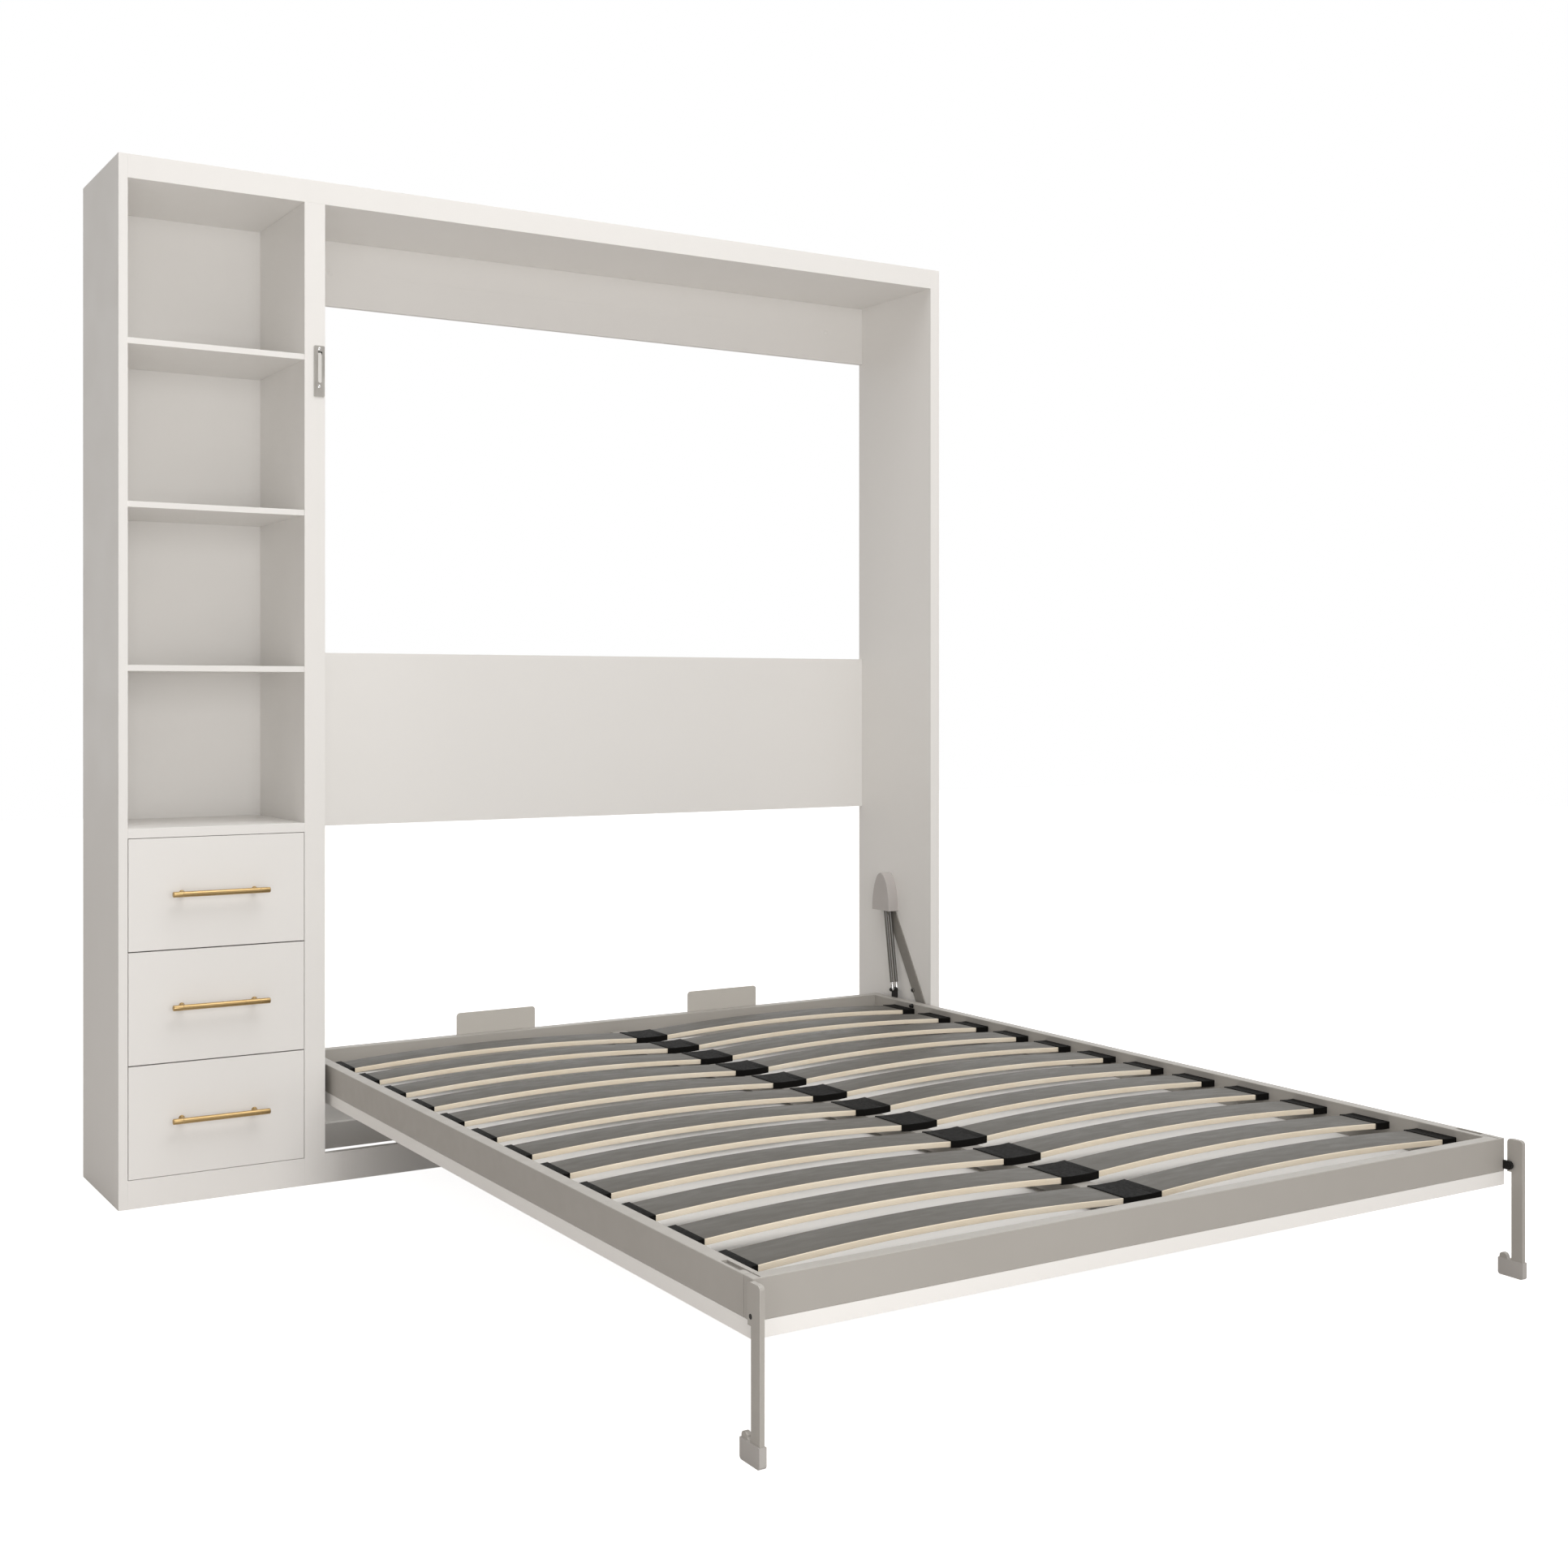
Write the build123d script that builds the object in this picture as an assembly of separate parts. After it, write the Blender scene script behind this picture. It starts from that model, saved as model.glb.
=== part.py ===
from build123d import *
import math
import os

os.makedirs("parts", exist_ok=True)

# ---------------------------------------------------------------------------
# Wall bed in a cabinet with a storage tower on its left.
# Millimetres. While it is drawn, X = 0 is the outside of the tower, Y = 0 the
# front of the cabinet (the room is at -Y) and Z = 0 the floor. Every piece is
# moved on export so that the origin is the bottom centre of the whole bed.
# ---------------------------------------------------------------------------

# cabinet boards
cabinet_h = 2200.0
cabinet_d = 338.0
left_side_t = 19.0
tower_open_w = 375.0
divider_t = 46.0
bay_w = 1645.5
right_side_t = 28.0
top_t = 50.0
board_t = 18.0
ceiling_t = 12.0
edge_r = 0.5

# tower fittings
tower_back_t = 6.0
tower_back_inset = 4.0
shelf_t = 12.5
shelf_steps = [342.0, 342.0, 341.0, 332.0]
shelf_inset = 2.0
counter_t = 20.0
counter_top = 793.0
tower_toe_h = 60.0

# bay back boards and toe boards
back_t = 15.0
back_upper_h = 154.0
back_middle_z = 762.5
back_middle_h = 410.0
back_lower_h = 200.0
bay_toe_h = 64.8
stretcher_h = 60.0
stretcher_t = 18.0
wall_screw_r = 3.0
wall_screw_inset = 120.0

# drawers
drawer_names = ["top", "middle", "bottom"]
drawer_gap = 2.5
drawer_front_t = 16.0
tray_wall_t = 12.0
tray_floor_t = 6.0
tray_clear = 48.0
tray_h = 150.0
tray_lift = 22.0
runner_h = 40.0
runner_t = 5.5
runner_clear = 0.75
runner_lift = 50.0
handle_r = 6.0
handle_l = 206.0
handle_post_r = 4.5
handle_pitch = 154.0
handle_stand = 30.0

# lock on the divider
lock_x = 426.5
lock_w = 24.0
lock_drop = 473.5
lock_h = 112.0
lock_t = 2.0
lever_w = 8.0
lever_l = 62.0
lever_t = 3.0
lever_pin_r = 3.0
lever_pivot_drop = 20.0
pin_play = 0.05
screw_head_r = 3.6
screw_head_t = 1.0
screw_low_rise = 22.0
screw_high_drop = 7.0

# bed frame
side_gap = 13.0
rail_w = 25.0
rail_h = 61.0
rail_wall = 2.0
rail_r = 1.5
rail_z = 193.0
door_t = 25.0
closed_clear = 63.0
pivot_rise = 32.0
head_reach = 173.0
door_head_reach = 151.0
pivot_pin_r = 6.0
beam_w = 40.0
beam_h = 26.0
rail_bolt_r = 5.0
rail_bolt_back = 27.0
rail_bolt_rise = 54.5
rail_bolt_l = 9.0
recess_start = 44.0
recess_l = 54.0
recess_rim = 4.5
recess_w = 11.0
recess_depth = 4.0
recess_floor_t = 2.0
groove_w = 4.0
groove_depth = 1.2

# slats
slat_rows = 12
slat_head_margin = 163.5
slat_foot_margin = 133.5
slat_w = 88.0
slat_t = 10.5
slat_rise = 14.0
slat_end_rise = 35.5
slat_bite = 20.0
cap_l = 37.0
cap_w = 93.0
cap_skin = 1.6
centre_cap_l = 84.0
slat_play = 0.1

# mattress stops on the head rail
stop_w = 205.0
stop_h = 96.0
stop_rise = 51.0
stop_t = 3.0
stop_offset = 318.0
stop_r = 8.0

# folding legs at the foot corners
leg_t = 8.0
leg_w = 24.0
leg_reach = 37.0
leg_gap = 2.5
leg_plate_w = 33.0
leg_head_r = 7.0
leg_pivot_reach = 12.0
leg_pivot_rise = 13.0
leg_rivet_r = 4.0
leg_cap_t = 12.0
leg_cap_h = 31.0
leg_cap_w = 54.0
leg_cap_wall = 2.0
leg_cap_corner_r = 5.0
heel_w = 16.0
heel_h = 41.0
heel_r = 7.0
ear_t = 5.0
ear_r = 8.0

# lift mechanism on both bay walls
strap_t = 3.0
strap_w = 35.5
strap_low_offset = (-17.6, 20.8)
strap_high_offset = (124.0, 262.0)
strap_end_r = 20.0
strap_head_r = 13.0
strap_reach = 28.0
strap_bolt_offset = (19.0, 55.0)
cover_t = 30.5
cover_wall = 2.0
cover_rise = 261.0
cover_h = 102.0
cover_w = 79.0
cover_reach = 133.0
spring_top_offset = (128.0, 315.0)
spring_low_reach = 86.0
spring_low_rise = 21.0
spring_r = 5.0
spring_inner = 22.5
spring_outer = 8.5
rod_r = 2.5
rod_bore_r = 2.8
rod_end_r = 5.0
rod_end_l = 8.8
tube_start = 9.0
tube_low_clear = 19.4
rod_top = 60.0
spring_pin_r = 3.0
lug_t = 3.6
lug_w = 24.0
lug_gap = 0.5

# places worked out from the sizes above
cabinet_w = left_side_t + tower_open_w + divider_t + bay_w + right_side_t
tower_x0 = left_side_t
tower_x1 = left_side_t + tower_open_w
bay_x0 = tower_x1 + divider_t
bay_x1 = bay_x0 + bay_w
bay_mid = (bay_x0 + bay_x1) / 2
ceiling_z = cabinet_h - top_t
open_h = ceiling_z - counter_top
shelf_tops = [
    counter_top + open_h * sum(shelf_steps[: n + 1]) / sum(shelf_steps)
    for n in range(len(shelf_steps) - 1)
]
tray_depth = cabinet_d - tray_clear
lock_z = cabinet_h - lock_drop
bed_x0 = bay_x0 + side_gap
bed_x1 = bay_x1 - side_gap
rail_top = rail_z + rail_h

# the closed door is flush with the cabinet's front, so the pivot is as far
# behind the front as it is above the door's outer face
pivot_z = rail_z + pivot_rise
pivot_y = pivot_rise + door_t
rail_foot = pivot_y + pivot_z + closed_clear - ceiling_z
rail_head = pivot_y + head_reach
door_head = pivot_y + door_head_reach
rail_bolt_y = pivot_y - rail_bolt_back
rail_bolt_z = rail_z + rail_bolt_rise
slat_end_z = rail_z + slat_end_rise
slat_first_y = rail_head - slat_head_margin
slat_pitch = (slat_first_y - rail_foot - slat_foot_margin) / (slat_rows - 1)
beam_top = slat_end_z - cap_skin
leg_front = rail_foot - leg_reach
leg_plate_h = rail_h
leg_pivot_y = rail_foot - leg_pivot_reach
leg_pivot_z = rail_z + leg_pivot_rise


def from_pivot(offset):
    """Place (Y, Z) that is an offset away from the bed's pivot."""
    return (pivot_y + offset[0], pivot_z + offset[1])


strap_low = from_pivot(strap_low_offset)
strap_high = from_pivot(strap_high_offset)
strap_bolt = from_pivot(strap_bolt_offset)
cover_y, cover_z = from_pivot((cover_reach, cover_rise))
spring_top = from_pivot(spring_top_offset)
spring_low = (pivot_y + spring_low_reach, rail_top + spring_low_rise)
reach_y = leg_front - leg_cap_wall
to_origin = Pos(-cabinet_w / 2, -(reach_y + cabinet_d) / 2, 0)


def brick(x0, x1, y0, y1, z0, z1):
    """Box between two corners."""
    low = (Align.MIN, Align.MIN, Align.MIN)
    return Pos(x0, y0, z0) * Box(x1 - x0, y1 - y0, z1 - z0, align=low)


def soft(shape, radius=edge_r):
    """Break every edge of a board."""
    return fillet(shape.edges(), radius)


def board(x0, x1, y0, y1, z0, z1):
    """Board with broken edges."""
    return soft(brick(x0, x1, y0, y1, z0, z1))


def rod_x(x0, x1, y, z, radius):
    """Round bar along X."""
    return Pos((x0 + x1) / 2, y, z) * Rot(0, 90, 0) * Cylinder(radius, abs(x1 - x0))


def rod_y(x, y0, y1, z, radius):
    """Round bar along Y."""
    return Pos(x, (y0 + y1) / 2, z) * Rot(90, 0, 0) * Cylinder(radius, abs(y1 - y0))


def plate_x(x0, x1, face):
    """Sheet of a face drawn as (Y, Z), standing between two X planes."""
    return extrude(Plane.YZ.offset(x0) * face, x1 - x0)


def mirrored(shape):
    """The same piece on the other side of the bed."""
    return mirror(shape, Plane.YZ.offset(bay_mid))


def put(name, *shapes):
    """Write one node, moved to the origin of the whole bed."""
    solids = []
    for shape in shapes:
        solids.extend((to_origin * shape).solids())
    piece = solids[0] if len(solids) == 1 else Compound(children=solids)
    piece.label = name
    export_step(piece, "parts/" + name + ".step")


# ---------------------------------------------------------------------------
# cabinet
# ---------------------------------------------------------------------------
def cabinet_boards():
    """Sides, divider and the built-up top."""
    put("left_side_panel", board(0, left_side_t, 0, cabinet_d, 0, cabinet_h))
    put("right_side_panel", board(bay_x1, cabinet_w, 0, cabinet_d, 0, cabinet_h))
    put("divider_panel", board(tower_x1, bay_x0, 0, cabinet_d, 0, ceiling_z))
    top_z = cabinet_h - board_t
    put("top_board", brick(tower_x0, bay_x1, board_t, cabinet_d, top_z, cabinet_h))
    put("top_fascia", board(tower_x0, bay_x1, 0, board_t, ceiling_z, cabinet_h))
    lining = brick(tower_x0, bay_x1, board_t, cabinet_d, ceiling_z, ceiling_z + ceiling_t)
    put("ceiling_board", lining)


def tower_boards():
    """Shelves, counter, floor, back and toe board of the storage tower."""
    back_y = cabinet_d - tower_back_inset - tower_back_t
    shelves = []
    for top in shelf_tops:
        shelves.append(board(tower_x0, tower_x1, shelf_inset, back_y, top - shelf_t, top))
    put("tower_shelves", *shelves)
    put("counter_board", board(tower_x0, tower_x1, 0, back_y, counter_top - counter_t, counter_top))
    put("tower_floor", brick(tower_x0, tower_x1, board_t, back_y, tower_toe_h - board_t, tower_toe_h))
    put("tower_toe_board", board(tower_x0, tower_x1, 0, board_t, 0, tower_toe_h))
    put("tower_back_panel", brick(tower_x0, tower_x1, back_y, back_y + tower_back_t, 0, ceiling_z))


def bay_boards():
    """Back boards, rear stretcher and toe board of the bed bay."""
    y0 = cabinet_d - back_t
    upper = board(bay_x0, bay_x1, y0, cabinet_d, ceiling_z - back_upper_h, ceiling_z)
    screw_z = ceiling_z - back_upper_h / 2
    for x in (bay_x0 + wall_screw_inset, bay_x1 - wall_screw_inset):
        upper -= rod_y(x, y0 - 1, cabinet_d + 1, screw_z, wall_screw_r)
    put("back_panel_upper", upper)
    middle_top = back_middle_z + back_middle_h
    put("back_panel_middle", board(bay_x0, bay_x1, y0, cabinet_d, back_middle_z, middle_top))
    put("back_panel_lower", board(bay_x0, bay_x1, y0, cabinet_d, 0, back_lower_h))
    put("rear_stretcher", board(bay_x0, bay_x1, y0 - stretcher_t, y0, 0, stretcher_h))
    put("bay_toe_board", board(bay_x0, bay_x1, 0, board_t, 0, bay_toe_h))


# ---------------------------------------------------------------------------
# drawers
# ---------------------------------------------------------------------------
drawer_pitch = (counter_top - counter_t - tower_toe_h) / len(drawer_names)
tray_gap = runner_t * 2 + runner_clear * 2
tray_x0 = tower_x0 + tray_gap
tray_x1 = tower_x1 - tray_gap


def drawer_base(index):
    """Height of the bottom of one drawer's space, counted from the top drawer."""
    return counter_top - counter_t - drawer_pitch * (index + 1)


def drawer_tray(z):
    """Two sides, a back and a floor, butted together behind the front."""
    y0 = drawer_front_t
    y1 = y0 + tray_depth
    low = z + tray_lift
    high = low + tray_h
    floor_top = low + tray_floor_t
    return [
        brick(tray_x0, tray_x0 + tray_wall_t, y0, y1, low, high),
        brick(tray_x1 - tray_wall_t, tray_x1, y0, y1, low, high),
        brick(tray_x0 + tray_wall_t, tray_x1 - tray_wall_t, y1 - tray_wall_t, y1, low, high),
        brick(tray_x0 + tray_wall_t, tray_x1 - tray_wall_t, y0, y1 - tray_wall_t, low, floor_top),
    ]


def drawer_handle(z):
    """Round bar on two posts."""
    mid = (tower_x0 + tower_x1) / 2
    handle = rod_x(mid - handle_l / 2, mid + handle_l / 2, -handle_stand, z, handle_r)
    handle = chamfer(handle.edges().filter_by(GeomType.CIRCLE), 0.6)
    for side in (-1, 1):
        x = mid + side * handle_pitch / 2
        handle += rod_y(x, -handle_stand, 0, z, handle_post_r)
        handle += rod_y(x, -2.5, 0, z, handle_post_r + 2)
    return handle


def runner_pair(z, inner):
    """Runner strips of one drawer: on the tray if inner, else on the tower."""
    y0 = drawer_front_t + 2
    y1 = drawer_front_t + tray_depth
    low = z + runner_lift
    strips = []
    for side in (0, 1):
        if inner:
            x = tray_x0 - runner_t if side == 0 else tray_x1
        else:
            x = tower_x0 if side == 0 else tower_x1 - runner_t
        strips.append(brick(x, x + runner_t, y0, y1, low, low + runner_h))
    return strips


def drawers():
    """Three inset drawers on side runners."""
    fixed = []
    for index, name in enumerate(drawer_names):
        z = drawer_base(index)
        half = drawer_gap / 2
        front = board(
            tower_x0 + half, tower_x1 - half, 0, drawer_front_t, z + half, z + drawer_pitch - half
        )
        put("drawer_" + name + "_front", front)
        put("drawer_" + name + "_tray", *drawer_tray(z))
        put("drawer_" + name + "_runners", *runner_pair(z, True))
        put("drawer_" + name + "_handle", drawer_handle(z + drawer_pitch / 2))
        fixed.extend(runner_pair(z, False))
    put("tower_runners", *fixed)


# ---------------------------------------------------------------------------
# lock
# ---------------------------------------------------------------------------
def lock():
    """Plate on the divider and a lever that swings over the closed door."""
    pivot = lock_z + lock_h - lever_pivot_drop
    x0 = lock_x - lock_w / 2
    plate = brick(x0, x0 + lock_w, -lock_t, 0, lock_z, lock_z + lock_h)
    plate = fillet(plate.edges().filter_by(Axis.Y), 3.0)
    plate -= rod_y(lock_x, -lock_t - 1, 1, pivot, lever_pin_r + pin_play)
    screws = []
    for z in (lock_z + screw_low_rise, lock_z + lock_h - screw_high_drop):
        screws.append(rod_y(lock_x, -lock_t - screw_head_t, -lock_t, z, screw_head_r))
    put("lock_plate", plate)
    put("lock_screws", *screws)
    y1 = -lock_t - 0.3
    y0 = y1 - lever_t
    lever = brick(
        lock_x - lever_w / 2, lock_x + lever_w / 2, y0, y1, pivot - lever_l, pivot + lever_w / 2
    )
    lever = fillet(lever.edges().filter_by(Axis.Y), lever_w / 2 - 0.2)
    lever += rod_y(lock_x, y1, 0, pivot, lever_pin_r)
    put("lock_lever", lever)


# ---------------------------------------------------------------------------
# bed frame
# ---------------------------------------------------------------------------
def side_rail():
    """Left side rail: box tube with a recess on top near the foot, bored for the pivot."""
    start = rail_foot + rail_w
    outer = brick(bed_x0, bed_x0 + rail_w, start, rail_head, rail_z, rail_top)
    outer = fillet(outer.edges().filter_by(Axis.Y), rail_r)
    hollow = brick(
        bed_x0 + rail_wall,
        bed_x0 + rail_w - rail_wall,
        start - 1,
        rail_head - rail_wall,
        rail_z + rail_wall,
        rail_top - rail_wall,
    )
    rail = outer - hollow
    x0 = bed_x0 + recess_rim
    x1 = x0 + recess_w
    y0 = rail_foot + recess_start
    y1 = y0 + recess_l
    floor_z = rail_top - recess_depth
    low = floor_z - recess_floor_t
    high = rail_top - rail_wall
    rail += brick(x0 - rail_wall, x1 + rail_wall, y0 - rail_wall, y1 + rail_wall, low, high)
    rail -= brick(x0, x1, y0, y1, floor_z, rail_top + 1)
    rail -= brick(x1 - groove_w, x1, start - 1, y0 + 1, rail_top - groove_depth, rail_top + 1)
    bore = pivot_pin_r + pin_play
    rail -= rod_x(bed_x0 - 1, bed_x0 + rail_w + 1, pivot_y, pivot_z, bore)
    return rail


def head_rail():
    """Box tube between the side rails at the head, open at its ends."""
    x0 = bed_x0 + rail_w
    x1 = bed_x1 - rail_w
    y0 = rail_head - rail_w
    rail = brick(x0, x1, y0, rail_head, rail_z, rail_top)
    rail = fillet(rail.edges().filter_by(Axis.X), rail_r)
    hollow = brick(
        x0 - 1, x1 + 1, y0 + rail_wall, rail_head - rail_wall, rail_z + rail_wall, rail_top - rail_wall
    )
    return rail - hollow


def foot_rail():
    """Channel across the foot, closed at its ends and open towards the door."""
    rail = brick(bed_x0, bed_x1, rail_foot, rail_foot + rail_w, rail_z, rail_top)
    rail = fillet(rail.edges(), rail_r)
    hollow = brick(
        bed_x0 + rail_wall,
        bed_x1 - rail_wall,
        rail_foot + rail_wall,
        rail_foot + rail_w - rail_wall,
        rail_z - 1,
        rail_top - rail_wall,
    )
    rail -= hollow
    groove_x1 = bed_x0 + recess_rim + recess_w
    groove = brick(
        groove_x1 - groove_w, groove_x1,
        rail_foot + rail_wall, rail_foot + rail_w + 1, rail_top - groove_depth, rail_top + 1,
    )
    return rail - groove - mirrored(groove)


def centre_beam():
    """Box tube under the centre caps, open at its ends."""
    y0 = rail_foot + rail_w
    y1 = rail_head - rail_w
    low = beam_top - beam_h
    beam = brick(bay_mid - beam_w / 2, bay_mid + beam_w / 2, y0, y1, low, beam_top)
    hollow = brick(
        bay_mid - beam_w / 2 + rail_wall,
        bay_mid + beam_w / 2 - rail_wall,
        y0 - 1,
        y1 + 1,
        low + rail_wall,
        beam_top - rail_wall,
    )
    return beam - hollow


def pivot_reinforcement():
    """Ring inside the rail that carries the pivot pin across the hollow."""
    x0 = bed_x0 + rail_wall
    x1 = bed_x0 + rail_w - rail_wall
    ring = rod_x(x0, x1, pivot_y, pivot_z, pivot_pin_r + 6)
    return ring - rod_x(x0 - 1, x1 + 1, pivot_y, pivot_z, pivot_pin_r + pin_play)


def rail_bolt():
    """Bolt head and washer on the inside of the rail."""
    x = bed_x0 + rail_w
    head = rod_x(x, x + rail_bolt_l, rail_bolt_y, rail_bolt_z, rail_bolt_r)
    head = fillet(head.edges().group_by(Axis.X)[-1], 1.5)
    washer = rod_x(x, x + 1.5, rail_bolt_y, rail_bolt_z, rail_bolt_r + 1.0)
    return head + washer


def bed_frame():
    """Rails, centre beam, door panel and mattress stops."""
    rail = side_rail()
    put("side_rail_left", rail)
    put("side_rail_right", mirrored(rail))
    put("head_rail", head_rail())
    put("foot_rail", foot_rail())
    put("centre_beam", centre_beam())
    put("door_panel", board(bed_x0, bed_x1, rail_foot, door_head, rail_z - door_t, rail_z))
    ring = pivot_reinforcement()
    put("pivot_bushes", ring, mirrored(ring))
    bolt = rail_bolt()
    put("rail_bolts", bolt, mirrored(bolt))
    stops = []
    for side in (-1, 1):
        x = bay_mid + side * stop_offset
        stop = brick(
            x - stop_w / 2, x + stop_w / 2, rail_head, rail_head + stop_t,
            rail_top + stop_rise - stop_h, rail_top + stop_rise,
        )
        stops.append(fillet(stop.edges().filter_by(Axis.Y), stop_r))
    put("mattress_stops", *stops)


# ---------------------------------------------------------------------------
# slats
# ---------------------------------------------------------------------------
def slat_face(x0, x1, play=0.0):
    """Side view (X, Z) of one bowed slat."""
    mid = (x0 + x1) / 2
    low = slat_end_z - play
    high = slat_end_z + slat_t + play
    under = ThreePointArc((x0, low), (mid, low + slat_rise), (x1, low))
    over = ThreePointArc((x0, high), (mid, high + slat_rise), (x1, high))
    ends = [Line((x0, low), (x0, high)), Line((x1, low), (x1, high))]
    return make_face([under, over] + ends)


def bowed(x0, x1, y_mid, width, play=0.0):
    """One bowed slat, or the space it needs."""
    plane = Plane.XZ.offset(-(y_mid + width / 2))
    return extrude(plane * slat_face(x0, x1, play), width)


def slat_cap(slat_x0, slat_x1, cap_x0, cap_x1, y):
    """Sleeve round one slat end, with a block beyond the end of the slat."""
    low = slat_end_z - cap_skin
    high = slat_end_z + slat_t + cap_skin
    sleeve = bowed(slat_x0, slat_x1, y, cap_w, cap_skin)
    window = brick(cap_x0, cap_x1, y - cap_w, y + cap_w, low - 50, high + 50)
    end = slat_x0 if abs(slat_x0 - cap_x0) < abs(slat_x1 - cap_x1) else slat_x1
    block_x0 = cap_x0 if end == slat_x0 else end
    block_x1 = end if end == slat_x0 else cap_x1
    block = brick(block_x0, block_x1, y - cap_w / 2, y + cap_w / 2, low, high)
    return (sleeve & window) + block


def slats():
    """Two columns of bowed slats in end caps and centre caps."""
    x0 = bed_x0 + rail_w + cap_l - slat_bite
    x1 = bay_mid - centre_cap_l / 2 + slat_bite
    left, right, end_caps, centre_caps = [], [], [], []
    for row in range(slat_rows):
        y = slat_first_y - slat_pitch * row
        slat = bowed(x0, x1, y, slat_w)
        left.append(slat)
        right.append(mirrored(slat))
        room = bowed(x0 - slat_play, x1 + slat_play, y, slat_w + 2 * slat_play, slat_play)
        cap = slat_cap(x0, x1, bed_x0 + rail_w, bed_x0 + rail_w + cap_l, y) - room
        end_caps.append(cap)
        end_caps.append(mirrored(cap))
        half = slat_cap(x0, x1, bay_mid - centre_cap_l / 2, bay_mid, y) - room
        centre_caps.append(half + mirrored(half))
    put("slats_left", *left)
    put("slats_right", *right)
    put("slat_end_caps", *end_caps)
    put("slat_centre_caps", *centre_caps)


# ---------------------------------------------------------------------------
# folding legs
# ---------------------------------------------------------------------------
leg_x1 = bed_x0 - leg_gap
leg_x0 = leg_x1 - leg_t


def leg_bar():
    """Flat bar with a wider head for the pivot and a foot that ends in a heel."""
    low = (Align.MIN, Align.MIN)
    foot_z = leg_cap_wall
    foot_l = leg_cap_w - 2 * leg_cap_wall
    bar = Rectangle(leg_w, rail_top - foot_z, align=low)
    bar = Pos(leg_front, foot_z) * bar
    head = Pos(leg_front, rail_z) * Rectangle(leg_plate_w, leg_plate_h, align=low)
    foot = Pos(leg_front, foot_z) * Rectangle(foot_l, leg_cap_h - foot_z, align=low)
    heel_y = leg_front + foot_l - heel_w
    heel = Pos(heel_y, foot_z) * Rectangle(heel_w, heel_h - foot_z, align=low)
    heel = fillet(heel.vertices().group_by(Axis.Y)[-1], heel_r)
    scoop_y = leg_front + leg_w
    scoop_r = (heel_y - scoop_y) / 2
    scoop = Pos(scoop_y, leg_cap_h) * Rectangle(2 * scoop_r, scoop_r, align=low)
    scoop -= Pos(scoop_y + scoop_r, leg_cap_h + scoop_r) * Circle(scoop_r)
    face = bar + head
    face = fillet(face.vertices().group_by(Axis.Y)[-1], leg_head_r)
    face = face + foot + heel + scoop
    leg = plate_x(leg_x0, leg_x1, face)
    return leg - rod_x(leg_x0 - 1, leg_x1 + 1, leg_pivot_y, leg_pivot_z, leg_rivet_r + pin_play)


def leg_cap():
    """Plastic shoe, a trough round the leg's foot with a rounded front corner."""
    y0 = leg_front - leg_cap_wall
    face = Rectangle(leg_cap_w, leg_cap_h, align=(Align.MIN, Align.MIN))
    face = Pos(y0, 0) * face
    low = face.vertices().group_by(Axis.Y)[0]
    face = fillet(low, leg_cap_corner_r)
    mid = (leg_x0 + leg_x1) / 2
    cap = plate_x(mid - leg_cap_t / 2, mid + leg_cap_t / 2, face)
    y1 = y0 + leg_cap_w - leg_cap_wall
    pocket = brick(leg_x0, leg_x1, leg_front, y1, leg_cap_wall, leg_cap_h + 1)
    return cap - pocket


def leg_ear():
    """Small lug on the front of the foot rail and the rivet the leg turns on."""
    x0 = bed_x0
    x1 = bed_x0 + ear_t
    round_end = rod_x(x0, x1, leg_pivot_y, leg_pivot_z, ear_r)
    root = brick(x0, x1, leg_pivot_y, rail_foot, leg_pivot_z - ear_r, leg_pivot_z + ear_r)
    boss = rod_x(leg_x1 + 0.3, x0, leg_pivot_y, leg_pivot_z, leg_rivet_r + 2)
    shank = rod_x(leg_x0 - 0.3, x1 + 1.2, leg_pivot_y, leg_pivot_z, leg_rivet_r)
    return round_end + root + boss + shank


def legs():
    """Legs, shoes and ears on both sides."""
    bar = leg_bar()
    cap = leg_cap()
    ear = leg_ear()
    put("leg_left", bar)
    put("leg_right", mirrored(bar))
    put("leg_shoe_left", cap)
    put("leg_shoe_right", mirrored(cap))
    put("leg_ear_left", ear)
    put("leg_ear_right", mirrored(ear))


# ---------------------------------------------------------------------------
# lift mechanism, drawn on the left wall of the bay
# ---------------------------------------------------------------------------
wall_x = bay_x0
spring_xs = [wall_x + spring_outer, wall_x + spring_inner]
lug_x = (spring_xs[0] + spring_xs[1]) / 2
spring_dy = spring_low[0] - spring_top[0]
spring_dz = spring_low[1] - spring_top[1]
spring_l = math.hypot(spring_dy, spring_dz)
tube_end = spring_l - tube_low_clear
spring_tilt = math.degrees(math.atan2(spring_dy, -spring_dz))


def on_spring(shape, x):
    """Stand a piece, drawn hanging down from the origin, on one spring's line."""
    return Pos(x, spring_top[0], spring_top[1]) * Rot(spring_tilt, 0, 0) * shape


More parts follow.
